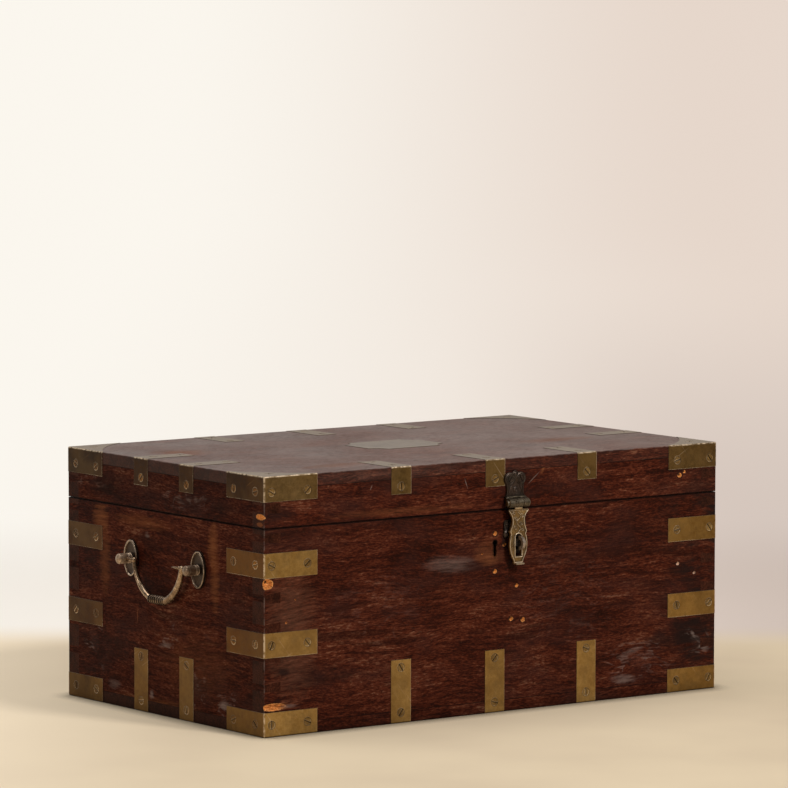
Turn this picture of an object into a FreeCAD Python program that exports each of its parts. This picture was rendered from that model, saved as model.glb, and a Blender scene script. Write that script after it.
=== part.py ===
import FreeCAD, Part
import math
import os

os.makedirs("parts", exist_ok=True)

Vec = FreeCAD.Vector
up = Vec(0, 0, 1)
down = Vec(0, 0, -1)

# The chest stands on z = 0 with its origin at the centre of its underside.
# +X is to the right of someone facing it and -Y is its front. Lengths are in millimetres.
width = 584.0
depth = 356.0
height = 262.0
lid_height = 52.0
seam_gap = 0.6          # daylight between lid and body when shut
board = 20.0            # walls of body and lid
base_thick = 12.5
top_thick = 12.5
edge_round = 1.2        # worn outer edges
seam_round = 0.5        # edges that meet at the seam
overrun = 1.0           # how far a cutting shape passes the face that it cuts
close_fit = 0.05        # round fastener or pin in its hole
peg_fit = 0.1           # bail's peg in its post
free_fit = 0.3          # moving piece beside a fixed one

half_width = width / 2
half_depth = depth / 2
lid_base = height - lid_height
rim = lid_base - seam_gap
inner_half_width = half_width - board
inner_half_depth = half_depth - board
front_face = -half_depth
seam_middle = rim + seam_gap / 2

# Dovetails: the end boards carry the pins, which show as end grain on the front.
pin_pitch = 30.0
first_pin = 20.0
pin_tip = 7.0
pin_root = 11.0

# Brass strip, let into the wood and standing a little proud.
strap_width = 25.0
strap_thick = 1.6
strap_proud = 0.35
corner_leg = 65.0
upper_strap_drop = 24.4  # from the body's rim
cap_drop = 25.5
cap_hollow = 5.0        # how far the cap's free edge curves in
foot_strap_rise = 65.0
lid_strap_drop = 28.0
strap_reach = 58.0      # leg on the lid's top or under the base
front_strap_pitch = 120.0
layout_x = -2.4         # line that the front's straps, keyhole and lock are set out from
end_strap_pitch = 82.4
strap_sink = strap_thick - strap_proud
upper_strap_level = rim - upper_strap_drop - strap_width
middle_strap_level = upper_strap_level / 2

# Slotted countersunk screws.
strap_head = 4.2        # head radius
strap_shank = 2.0
strap_screw_long = 10.5
small_head = 3.2
small_shank = 1.5
small_screw_long = 10.0
lock_screw_long = 16.5
head_land = 0.3         # upright rim of a head
head_sink = 0.1
head_gap = 0.3          # ring of daylight round a head
slot_width = 1.1
slot_deep = 0.9
spin_step = 67.0        # each screw's slot stops at another angle
near_front_screw = 9.0  # from the corner, on front and back legs
near_end_screw = 15.0   # from the corner, on end legs
far_corner_screw = 53.0
cap_screw_inset = 20.0
cap_screw_rise = 9.5
foot_screw_low = 11.0
foot_screw_high = 57.0
reach_screw_near = 15.0
reach_screw_far = 49.0
lid_screw_rise = 7.8

# Name plate on the lid, with a hollow cut at each corner.
plate_half_length = 48.5
plate_half_width = 36.0
plate_cut_x = 15.0
plate_cut_y = 15.0
plate_cut_hollow = 3.0
plate_pin_radius = 1.3
plate_pin_long = 7.0
plate_pin_inset = 7.0
plate_end_pin_y = 12.5

# Lid hinges on the back rim.
hinge_offset = 170.0
hinge_long = 50.0
hinge_knuckles = 5
leaf_deep = 16.0
leaf_thick = 1.8
knuckle_radius = 3.6
hinge_pin_radius = 1.5
hinge_out = 4.2         # pin's centre from the back face
stop_reach = 3.4        # stop lug beyond the knuckle
lid_swing = 100.0       # degrees
stop_rest_gap = 1.0     # degrees left between the lugs when open
stop_lug_span = 20.0    # degrees
hinge_screw_pitch = 16.0

# Box lock behind the keyhole.
lock_half_long = 38.0
lock_tall = 54.0
lock_deep = 13.0
lock_wall = 1.8
link_offset = 18.0
link_thick = 3.0
link_wide = 9.0
link_drop = 12.0        # below the body's rim
eye_size = 5.0
eye_sole = 2.5          # metal under the eye
link_slot_gap = 0.7
finger_size = 4.0
bolt_throw = 8.0
bolt_bar_tall = 6.0
bolt_post_long = 4.5
bolt_tail_half = 10.0
bolt_tail_drop = 10.0
bolt_bar_end = 24.0
talon_half = 3.5
talon_deep = 5.0
ledge_tall = 2.7
keyhole_radius = 2.7
keyhole_down = 33.7     # from the body's rim
keyhole_drop = 14.4
keyhole_tail = 3.4
key_pin_radius = 1.3
lock_screw_x = 32.0
lock_screw_low = 7.0
lock_screw_high = 28.0
link_screw_x = 31.0
keyhole_level = rim - keyhole_down

# Hasp, to the right of the middle.
hasp_x = 22.3
hasp_rise = 6.0         # pin's height above the lid's rim
hasp_out = 6.0          # pin's centre from the front face
hasp_knuckle_radius = 4.85
hasp_barrel_long = 26.0
hasp_middle_long = 9.6
hasp_pin_radius = 1.5
hasp_plate_thick = 1.8
hasp_boss_proud = 1.1
lobe_radius = 6.8
lobe_x = 6.9
lobe_rise = 24.6        # above the pin, as the next five are
crest_radius = 4.4
crest_rise = 28.6
hasp_waist_half = 11.2
hasp_foot_half = 12.4
hasp_foot_rise = 5.2
hasp_shoulder_rise = 8.2
hasp_mid_boss = 2.3
hasp_mid_rise = 13.5
web_thick = 3.6
arm_thick = 2.5
arm_back = 5.0          # back of the arm from the front face
arm_half = 12.6
arm_drop = 6.4          # from the pin to the arm's top
arm_long = 57.0
arm_lip = 3.6
arm_lip_thick = 2.6
arm_slot_half = 3.8
arm_slot_tall = 22.9
arm_slot_sole = 8.5     # metal below the slot
hasp_level = lid_base + hasp_rise
lobe_level = hasp_level + lobe_rise
crest_level = hasp_level + crest_rise
hasp_foot_low = hasp_level + hasp_foot_rise
hasp_foot_high = hasp_level + hasp_shoulder_rise
hasp_mid_level = hasp_level + hasp_mid_rise
arm_top = hasp_level - arm_drop
arm_slot_low = arm_top - arm_long + arm_slot_sole
arm_slot_high = arm_slot_low + arm_slot_tall

# Half outline of the arm, as (share of arm_half, share of arm_long below the top).
arm_top_shares = (1.0, 0.0)
arm_shoulder_shares = (0.97, 0.05)
arm_waist_shares = (0.66, 0.17)
arm_below_waist_shares = (0.70, 0.29)
arm_cusp_shares = (0.89, 0.40)
arm_notch_shares = (0.78, 0.45)
arm_oval_shares = (0.93, 0.65)
arm_oval_end_shares = (0.57, 0.90)
arm_tip_shares = (0.42, 1.0)

# Staple that the arm drops over, for a padlock.
staple_x_half = 1.7
staple_tall = 14.4
staple_lift = 2.5       # staple's middle above the slot's middle
staple_reach = 17.6
staple_wire = 3.4
staple_plate_thick = 1.4
staple_plate_half = 14.0
staple_plate_tall = 18.0
staple_plate_rise = 5.2   # plate's foot above the staple's middle
staple_tongue_half = 6.5
staple_tongue_drop = 11.3
staple_screw_x = 9.3
staple_screw_rise = 17.7
staple_plate_round = 3.0
staple_middle = (arm_slot_low + arm_slot_high) / 2 + staple_lift
staple_plate_low = staple_middle + staple_plate_rise
staple_plate_high = staple_plate_low + staple_plate_tall

# Handles on the two ends.
handle_down = 51.9      # from the body's rim to the bail's pegs
post_spacing = 122.0
handle_y = -3.5         # handle's middle, a little forward of the end's middle
pivot_out = 9.4         # peg's centre from the end face
rose_tall = 38.0
rose_wide = 24.0
rose_floor = 1.8
rose_rim = 1.9
rose_rise = 3.2
rose_bevel = 0.5
rose_screw_rise = 12.3
post_radius = 5.6
post_reach = 19.2
tang_radius = 2.4
tang_long = 14.0
peg_radius = 2.0
bail_half = 43.0
bail_drop = 36.5
bail_bulge_share = 0.15
arm_start_radius = 2.8
arm_end_radius = 3.3
arm_sides = 8
elbow_radius = 3.2
grip_long = 27.0
grip_radius = 4.0
grip_bead = 0.9
grip_beads = 7
finial_long = 15.8
finial_bead = 2.1
finial_root = 1.5
finial_tip = 0.5

handle_level = rim - handle_down

# Turned post, as (share of post_radius, share of post_reach).
post_profile_shares = (
    (1.0, 0.03), (1.0, 0.16), (0.80, 0.21), (0.80, 0.25), (0.98, 0.28), (0.98, 0.33),
    (0.90, 0.35), (0.90, 0.665), (1.0, 0.68), (1.0, 0.73), (0.86, 0.76),
)
post_nose_shares = (0.62, 0.87)
post_tip_shares = (0.14, 0.985)

nodes = {}


def box(x0, x1, y0, y1, z0, z1):
    return Part.makeBox(x1 - x0, y1 - y0, z1 - z0, Vec(x0, y0, z0))


def rod(radius, start, end):
    return Part.makeCylinder(radius, end.sub(start).Length, start, end.sub(start))


def prism(points, along):
    return Part.Face(Part.makePolygon(points + [points[0]])).extrude(along)


def turned(points):
    ring = [Vec(radius, 0, level) for radius, level in points]
    face = Part.Face(Part.makePolygon(ring + [ring[0]]))
    return face.revolve(Vec(0, 0, 0), up, 360)


def placed(shape, at, out, spin=0):
    turn = FreeCAD.Rotation(up, out).multiply(FreeCAD.Rotation(up, spin))
    moved = shape.copy()
    moved.Placement = FreeCAD.Placement(at, turn)
    return moved


def mirrored(shape, normal):
    return shape.mirror(Vec(0, 0, 0), normal)


# A block centred on the chest, with its upright edges and one face's edges rounded.
def rounded_block(wide, deep, low, high, radius, rounded_level):
    block = box(-wide / 2, wide / 2, -deep / 2, deep / 2, low, high)
    edges = [e for e in block.Edges if e.BoundBox.ZLength > (high - low) / 2
             or abs(e.CenterOfMass.z - rounded_level) < radius / 2]
    return block.makeFillet(radius, edges)


def soften_level(block, level, radius):
    edges = [e for e in block.Edges if e.BoundBox.ZLength < radius / 2
             and abs(e.CenterOfMass.z - level) < radius / 2]
    return block.makeFillet(radius, edges)


# Cuts away only the shapes that come near.
def cut_away(shape, cutters):
    near = [c for c in cutters if shape.BoundBox.intersect(c.BoundBox)]
    return shape.cut(near) if near else shape


def add_node(name, shape):
    solids = shape.Solids
    nodes[name] = solids[0] if len(solids) == 1 else Part.makeCompound(solids)


def screw_points(head, shank, length, grow, above):
    cone_end = head_land + head - shank
    return [
        (0, above), (head + grow, above), (head + grow, -head_land), (shank + grow, -cone_end),
        (shank + grow, shank * 2 - length), (0, -length - grow),
    ]


def make_screw(head, shank, length):
    slot = box(-slot_width / 2, slot_width / 2, -head - overrun, head + overrun, -slot_deep, overrun)
    return turned(screw_points(head, shank, length, 0, 0)).cut(slot)


def make_screw_hole(head, shank, length):
    points = screw_points(head, shank, length, close_fit, overrun)
    mouth = turned([(0, overrun), (head + head_gap, overrun), (head + head_gap, -head_land),
                    (0, -head_land - head - head_gap)])
    return turned(points).fuse(mouth)


strap_screw_sizes = (strap_head, strap_shank, strap_screw_long)
small_screw_sizes = (small_head, small_shank, small_screw_long)
lock_screw_sizes = (small_head, small_shank, lock_screw_long)
screw_models = {}
screws = {}
screw_holes = []


# Puts one screw in a named group, with its hole, at a point on a surface that faces "out".
def fasten(group, sizes, at, out):
    if sizes not in screw_models:
        screw_models[sizes] = (make_screw(*sizes), make_screw_hole(*sizes))
    model, hole = screw_models[sizes]
    seat = at.sub(Vec(out).multiply(head_sink))
    spin = spin_step * len(screw_holes)
    screws.setdefault(group, []).append(placed(model, seat, out, spin))
    screw_holes.append(placed(hole, seat, out))


# The wooden outer forms of the body and the lid.
body_form = soften_level(rounded_block(width, depth, 0, rim, edge_round, 0), rim, seam_round)
lid_form = soften_level(rounded_block(width, depth, lid_base, height, edge_round, height),
                        lid_base, seam_round)

# The thin skins that the brass lies in. Under the base it lies flush.
outer_width = width + 2 * strap_proud
outer_depth = depth + 2 * strap_proud
floor_width = width - 2 * strap_sink
floor_depth = depth - 2 * strap_sink
outer_round = edge_round + strap_proud
body_skin = rounded_block(outer_width, outer_depth, 0, rim, outer_round, 0).cut(
    box(-floor_width / 2, floor_width / 2, -floor_depth / 2, floor_depth / 2, strap_thick, height))
lid_top_face = height + strap_proud
lid_skin = rounded_block(outer_width, outer_depth, lid_base, lid_top_face, outer_round, lid_top_face).cut(
    box(-floor_width / 2, floor_width / 2, -floor_depth / 2, floor_depth / 2, 0, height - strap_sink))

corners = (("front_left", -1, -1), ("front_right", 1, -1), ("back_left", -1, 1), ("back_right", 1, 1))


# The zone of skin within one leg's length of a corner, between two heights.
def corner_zone(side, face, low, high):
    x_far = side * (half_width + overrun)
    x_near = side * (half_width - corner_leg)
    y_far = face * (half_depth + overrun)
    y_near = face * (half_depth - corner_leg)
    return box(min(x_far, x_near), max(x_far, x_near), min(y_far, y_near), max(y_far, y_near), low, high)


# The flat corner of a cap, with its free edge curved in between the ends of its two legs.
def cap_flat_zone(side, face, low, high):
    x_far = side * (half_width + overrun)
    y_far = face * (half_depth + overrun)
    x_tip = side * (half_width - corner_leg)
    y_tip = face * (half_depth - corner_leg)
    x_floor = side * (half_width - strap_sink)
    y_floor = face * (half_depth - strap_sink)
    middle = (corner_leg + strap_sink) / 2 - cap_hollow
    bend = Vec(side * (half_width - middle), face * (half_depth - middle), low)
    start = Vec(x_tip, y_floor, low)
    end = Vec(x_floor, y_tip, low)
    corner = [end, Vec(x_far, y_tip, low), Vec(x_far, y_far, low), Vec(x_tip, y_far, low), start]
    edges = [Part.LineSegment(a, b).toShape() for a, b in zip(corner, corner[1:])]
    edges.insert(0, Part.Arc(start, bend, end).toShape())
    return Part.Face(Part.Wire(edges)).extrude(Vec(0, 0, high - low))


# Two screws on each leg of a corner strap.
def fasten_corner(group, side, face, level):
    for inset in (near_front_screw, far_corner_screw):
        at = Vec(side * (half_width - inset), face * outer_depth / 2, level)
        fasten(group, strap_screw_sizes, at, Vec(0, face, 0))
    for inset in (near_end_screw, far_corner_screw):
        at = Vec(side * outer_width / 2, face * (half_depth - inset), level)
        fasten(group, strap_screw_sizes, at, Vec(side, 0, 0))


def make_corner_straps():
    for corner, side, face in corners:
        low_zone = corner_zone(side, face, strap_thick, strap_width)
        low_zone = low_zone.fuse(cap_flat_zone(side, face, -overrun, strap_thick))
        nodes[corner + "_bottom_strap"] = body_skin.common(low_zone)
        fasten_corner("body_strap_screws", side, face, strap_width / 2)
        inset = Vec(side * (half_width - cap_screw_inset), face * (half_depth - cap_screw_inset), 0)
        fasten("body_strap_screws", strap_screw_sizes, inset, down)
        for name, level in (("_middle_strap", middle_strap_level), ("_upper_strap", upper_strap_level)):
            nodes[corner + name] = body_skin.common(corner_zone(side, face, level, level + strap_width))
            fasten_corner("body_strap_screws", side, face, level + strap_width / 2)


def make_lid_caps():
    for corner, side, face in corners:
        zone = corner_zone(side, face, height - cap_drop, height - strap_sink)
        zone = zone.fuse(cap_flat_zone(side, face, height - strap_sink, height + overrun))
        nodes["lid_" + corner + "_cap"] = lid_skin.common(zone)
        fasten_corner("lid_strap_screws", side, face, height - cap_drop + cap_screw_rise)
        at = Vec(side * (half_width - cap_screw_inset), face * (half_depth - cap_screw_inset), lid_top_face)
        fasten("lid_strap_screws", strap_screw_sizes, at, up)


# One bent strap on a side of the chest. "along" is its centre on that side's own line.
def strap_zone(out, along, low, high):
    if out.x:
        x_far = out.x * (half_width + overrun)
        x_near = out.x * (half_width - strap_reach)
        return box(min(x_far, x_near), max(x_far, x_near),
                   along - strap_width / 2, along + strap_width / 2, low, high)
    y_far = out.y * (half_depth + overrun)
    y_near = out.y * (half_depth - strap_reach)
    return box(along - strap_width / 2, along + strap_width / 2,
               min(y_far, y_near), max(y_far, y_near), low, high)


def on_side(out, along, level):
    if out.x:
        return Vec(out.x * outer_width / 2, along, level)
    return Vec(along, out.y * outer_depth / 2, level)


def on_flat(out, along, inset, level):
    if out.x:
        return Vec(out.x * (half_width - inset), along, level)
    return Vec(along, out.y * (half_depth - inset), level)


def make_edge_straps():
    back_places = (-front_strap_pitch, 0, front_strap_pitch)
    front_places = [layout_x + along for along in back_places]
    end_places = (-end_strap_pitch / 2, end_strap_pitch / 2)
    sides = (("front", Vec(0, -1, 0), front_places), ("back", Vec(0, 1, 0), back_places),
             ("left", Vec(-1, 0, 0), end_places), ("right", Vec(1, 0, 0), end_places))
    lid_strap_end = height - lid_strap_drop
    for side, out, places in sides:
        feet = [body_skin.common(strap_zone(out, a, -overrun, foot_strap_rise)) for a in places]
        tops = [lid_skin.common(strap_zone(out, a, lid_strap_end, height + overrun)) for a in places]
        nodes[side + "_foot_straps"] = Part.makeCompound(feet)
        nodes["lid_" + side + "_straps"] = Part.makeCompound(tops)
        for along in places:
            for level in (foot_screw_low, foot_screw_high):
                fasten("body_strap_screws", strap_screw_sizes, on_side(out, along, level), out)
            for inset in (reach_screw_near, reach_screw_far):
                fasten("body_strap_screws", strap_screw_sizes, on_flat(out, along, inset, 0), down)
                fasten("lid_strap_screws", strap_screw_sizes, on_flat(out, along, inset, lid_top_face), up)
            at = on_side(out, along, lid_strap_end + lid_screw_rise)
            fasten("lid_strap_screws", strap_screw_sizes, at, out)


# Brass plate let into the middle of the lid.
def make_name_plate():
    low = height - strap_sink
    x_flat = plate_half_length - plate_cut_x
    y_flat = plate_half_width - plate_cut_y
    edges = []
    for sx, sy in ((1, 1), (-1, 1), (-1, -1), (1, -1)):
        on_end = Vec(sx * plate_half_length, sy * y_flat, low)
        on_long = Vec(sx * x_flat, sy * plate_half_width, low)
        bend = Vec(sx * (plate_half_length - plate_cut_x / 2 - plate_cut_hollow),
                   sy * (plate_half_width - plate_cut_y / 2 - plate_cut_hollow), low)
        first, last = (on_end, on_long) if sx == sy else (on_long, on_end)
        if edges:
            edges.append(Part.LineSegment(edges[-1].Vertexes[-1].Point, first).toShape())
        edges.append(Part.Arc(first, bend, last).toShape())
    edges.append(Part.LineSegment(edges[-1].Vertexes[-1].Point, edges[0].Vertexes[0].Point).toShape())
    plate = Part.Face(Part.Wire(edges)).extrude(Vec(0, 0, strap_thick))
    end_x = plate_half_length - plate_pin_inset
    long_y = plate_half_width - plate_pin_inset
    places = [(0, long_y), (0, -long_y)]
    places += [(sx * end_x, sy * plate_end_pin_y) for sx in (-1, 1) for sy in (-1, 1)]
    pins = []
    for x, y in places:
        top = Vec(x, y, lid_top_face)
        pins.append(rod(plate_pin_radius, top, top.add(Vec(0, 0, -plate_pin_long))))
        hole = rod(plate_pin_radius + close_fit, top.add(Vec(0, 0, overrun)),
                   top.add(Vec(0, 0, -plate_pin_long - close_fit)))
        screw_holes.append(hole)
    nodes["lid_name_plate"] = plate
    nodes["name_plate_pins"] = Part.makeCompound(pins)


# A radial lug on a hinge, between two angles from straight back, upward positive.
def stop_lug(x0, x1, axis, inner, outer, start, end):
    points = []
    for radius, angle in ((inner, start), (outer, start), (outer, end), (inner, end)):
        turn = math.radians(angle)
        points.append(Vec(x0, axis.y + radius * math.cos(turn), axis.z + radius * math.sin(turn)))
    return prism(points, Vec(x1 - x0, 0, 0))


# One leaf with its knuckles, bored for the pin. The stop lug's faces lie on planes
# through the pin, so that the two lugs meet flat when the lid is open.
def hinge_leaf(x, axis, low, high, own_first, lug_sign):
    pitch = hinge_long / hinge_knuckles
    side_gap = free_fit / 2
    start = x - hinge_long / 2
    leaf = box(start, start + hinge_long, half_depth - leaf_deep, axis.y, low, high)
    lug_start = lug_sign * (lid_swing + stop_rest_gap) / 2
    lug_end = lug_start + lug_sign * stop_lug_span
    outer = knuckle_radius + stop_reach
    own = []
    others = []
    for index in range(hinge_knuckles):
        x0 = start + index * pitch
        if index % 2 == own_first:
            own.append(rod(knuckle_radius, Vec(x0 + side_gap, axis.y, axis.z),
                           Vec(x0 + pitch - side_gap, axis.y, axis.z)))
            own.append(stop_lug(x0 + side_gap, x0 + pitch - side_gap, axis,
                                knuckle_radius / 2, outer, lug_start, lug_end))
        else:
            others.append(rod(knuckle_radius + free_fit, Vec(x0, axis.y, axis.z),
                              Vec(x0 + pitch, axis.y, axis.z)))
    lug = stop_lug(start, start + hinge_long, axis, knuckle_radius + free_fit, outer, lug_start, lug_end)
    bore = rod(hinge_pin_radius + close_fit, Vec(start - overrun, axis.y, axis.z),
               Vec(start + hinge_long + overrun, axis.y, axis.z))
    return leaf.fuse(lug).cut(others).fuse(own).cut(bore)


def make_hinges():
    pins = []
    for side, sign in (("left", -1), ("right", 1)):
        x = sign * hinge_offset
        axis = Vec(0, half_depth + hinge_out, seam_middle)
        nodes[side + "_hinge_body_leaf"] = hinge_leaf(x, axis, rim - leaf_thick, rim, 0, -1)
        nodes[side + "_hinge_lid_leaf"] = hinge_leaf(x, axis, lid_base, lid_base + leaf_thick, 1, 1)
        pins.append(rod(hinge_pin_radius, Vec(x - hinge_long / 2, axis.y, axis.z),
                        Vec(x + hinge_long / 2, axis.y, axis.z)))
        for step in (-1, 0, 1):
            at = Vec(x + step * hinge_screw_pitch, half_depth - leaf_deep / 2, rim)
            fasten("body_fitting_screws", small_screw_sizes, at, up)
            fasten("lid_fitting_screws", small_screw_sizes, Vec(at.x, at.y, lid_base), down)
    nodes["hinge_pins"] = Part.makeCompound(pins)


# The recesses in the rims for the hinge leaves, open at the back.
def hinge_recesses():
    cuts = []
    for sign in (-1, 1):
        x0 = sign * hinge_offset - hinge_long / 2
        cuts.append(box(x0, x0 + hinge_long, half_depth - leaf_deep, half_depth + overrun,
                        rim - leaf_thick, lid_base + leaf_thick))
    return cuts


# The lock's case, let into the inside of the front board and open towards the keyhole.
lock_back = front_face + board
lock_front = lock_back - lock_deep
lock_floor = rim - lock_tall
works_y = (lock_front + lock_back - lock_wall) / 2
bar_low = rim - link_drop - free_fit - bolt_bar_tall - free_fit
eye_middle = rim - link_drop + eye_sole + eye_size / 2
bolt_back = lock_back - lock_wall - free_fit
bolt_start = -link_offset - link_thick / 2 - free_fit - bolt_throw - free_fit - bolt_post_long


# Moves a shape of the lock from the chest's middle to the layout line.
def on_lock_line(shape):
    moved = shape.copy()
    moved.translate(Vec(layout_x, 0, 0))
    return moved


def make_lock_case():
    case = box(-lock_half_long, lock_half_long, lock_front, lock_back, lock_floor, rim)
    room = box(lock_wall - lock_half_long, lock_half_long - lock_wall, lock_front - overrun,
               lock_back - lock_wall, lock_floor + lock_wall, rim - lock_wall)
    slots = []
    for sign in (-1, 1):
        x = sign * link_offset
        slots.append(box(x - link_thick / 2 - link_slot_gap, x + link_thick / 2 + link_slot_gap,
                         works_y - link_wide / 2 - link_slot_gap, works_y + link_wide / 2 + link_slot_gap,
                         rim - lock_wall - overrun, rim + overrun))
    ledge_top = bar_low - free_fit
    ledges = [box(-lock_half_long, -bolt_tail_half - link_slot_gap, works_y - finger_size / 2, lock_back,
                  ledge_top - ledge_tall, ledge_top),
              box(bolt_tail_half + bolt_throw + link_slot_gap, lock_half_long, works_y - finger_size / 2,
                  lock_back, ledge_top - ledge_tall, ledge_top)]
    key_pin = rod(key_pin_radius, Vec(0, lock_back - lock_wall / 2, keyhole_level),
                  Vec(0, lock_front, keyhole_level))
    nodes["lock_case"] = on_lock_line(case.cut([room] + slots).fuse(ledges + [key_pin]))
    for sign in (-1, 1):
        for level in (lock_floor + lock_screw_low, lock_floor + lock_screw_high):
            at = Vec(layout_x + sign * lock_screw_x, lock_back, level)
            fasten("body_fitting_screws", lock_screw_sizes, at, Vec(0, 1, 0))


# The sliding bolt: a bar with two fingers that slide into the lid's two links.
def make_lock_bolt():
    bar_high = bar_low + bolt_bar_tall
    thin_front = works_y - finger_size / 2
    thin_back = works_y + finger_size / 2
    bolt = box(bolt_start, bolt_bar_end, thin_front, bolt_back, bar_low, bar_high)
    finger_low = eye_middle - finger_size / 2
    finger_high = eye_middle + finger_size / 2
    for sign in (-1, 1):
        tip = sign * link_offset - link_thick / 2 - free_fit
        post_end = tip - bolt_throw - free_fit
        bolt = bolt.fuse([
            box(post_end - bolt_post_long, post_end, thin_front, thin_back, bar_low, finger_high),
            box(post_end - bolt_post_long, tip, thin_front, thin_back, finger_low, finger_high)])
    tail = box(-bolt_tail_half, bolt_tail_half, thin_front, thin_back, bar_low - bolt_tail_drop, bar_low)
    talon = box(-talon_half, talon_half, thin_front - overrun, thin_back + overrun,
                bar_low - bolt_tail_drop - overrun, bar_low - bolt_tail_drop + talon_deep)
    nodes["lock_bolt"] = on_lock_line(bolt.fuse(tail).cut(talon))


def link_plate_recess():
    return box(-lock_half_long, lock_half_long, lock_front, lock_back, lid_base, lid_base + lock_wall)


def make_link_plate():
    plate = link_plate_recess()
    for sign in (-1, 1):
        x = sign * link_offset
        loop = box(x - link_thick / 2, x + link_thick / 2, works_y - link_wide / 2, works_y + link_wide / 2,
                   rim - link_drop, lid_base + lock_wall)
        eye = box(x - link_thick, x + link_thick, works_y - eye_size / 2, works_y + eye_size / 2,
                  eye_middle - eye_size / 2, eye_middle + eye_size / 2)
        plate = plate.fuse(loop).cut(eye)
        fasten("lid_fitting_screws", small_screw_sizes,
               Vec(layout_x + sign * link_screw_x, (lock_front + lock_back) / 2, lid_base), down)
    nodes["lock_link_plate"] = on_lock_line(plate)


# Round head with a straight tail below it, through the front board.
def keyhole():
    start = Vec(0, front_face - overrun, keyhole_level)
    end = Vec(0, lock_front, keyhole_level)
    foot = Vec(0, 0, -keyhole_drop + keyhole_tail / 2)
    tail = box(-keyhole_tail / 2, keyhole_tail / 2, start.y, end.y, keyhole_level + foot.z, keyhole_level)
    foot_rod = rod(keyhole_tail / 2, start.add(foot), end.add(foot))
    return on_lock_line(rod(keyhole_radius, start, end).fuse([tail, foot_rod]))


# Turns a distance across the hasp, out from the front and up into a point.
def hasp_point(across, out, level):
    return Vec(hasp_x + across, front_face - out, level)


def make_hasp_plate():
    outline = [(-hasp_foot_half, hasp_foot_low), (hasp_foot_half, hasp_foot_low),
               (hasp_waist_half, hasp_foot_high), (hasp_waist_half, lobe_level),
               (-hasp_waist_half, lobe_level), (-hasp_waist_half, hasp_foot_high)]
    plate = prism([hasp_point(x, 0, z) for x, z in outline], Vec(0, -hasp_plate_thick, 0))
    raised = hasp_plate_thick + hasp_boss_proud
    extra = [rod(crest_radius, hasp_point(0, 0, crest_level), hasp_point(0, hasp_plate_thick, crest_level)),
             rod(hasp_mid_boss, hasp_point(0, 0, hasp_mid_level), hasp_point(0, raised, hasp_mid_level))]
    for sign in (-1, 1):
        x = sign * lobe_x
        extra.append(rod(lobe_radius, hasp_point(x, 0, lobe_level), hasp_point(x, raised, lobe_level)))
        fasten("lid_fitting_screws", small_screw_sizes, hasp_point(x, raised, lobe_level), Vec(0, -1, 0))
        x0 = sign * hasp_barrel_long / 2
        x1 = sign * (hasp_middle_long / 2 + free_fit)
        extra.append(rod(hasp_knuckle_radius, hasp_point(x0, hasp_out, hasp_level),
                         hasp_point(x1, hasp_out, hasp_level)))
        extra.append(box(hasp_x + min(x0, x1), hasp_x + max(x0, x1), front_face - web_thick, front_face,
                         hasp_level, hasp_foot_low + hasp_plate_thick))
        extra.append(Part.makeSphere(hasp_knuckle_radius / 2, hasp_point(x0, hasp_out, hasp_level)))
    bore = rod(hasp_pin_radius + close_fit, hasp_point(-hasp_barrel_long / 2, hasp_out, hasp_level),
               hasp_point(hasp_barrel_long / 2, hasp_out, hasp_level))
    # Its back is relieved where it laps the middle strap.
    nodes["hasp_lid_plate"] = plate.fuse(extra).cut([bore, nodes["lid_front_straps"]])
    nodes["hasp_pin"] = rod(hasp_pin_radius,
                            hasp_point(close_fit - hasp_barrel_long / 2, hasp_out, hasp_level),
                            hasp_point(hasp_barrel_long / 2 - close_fit, hasp_out, hasp_level))


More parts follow.
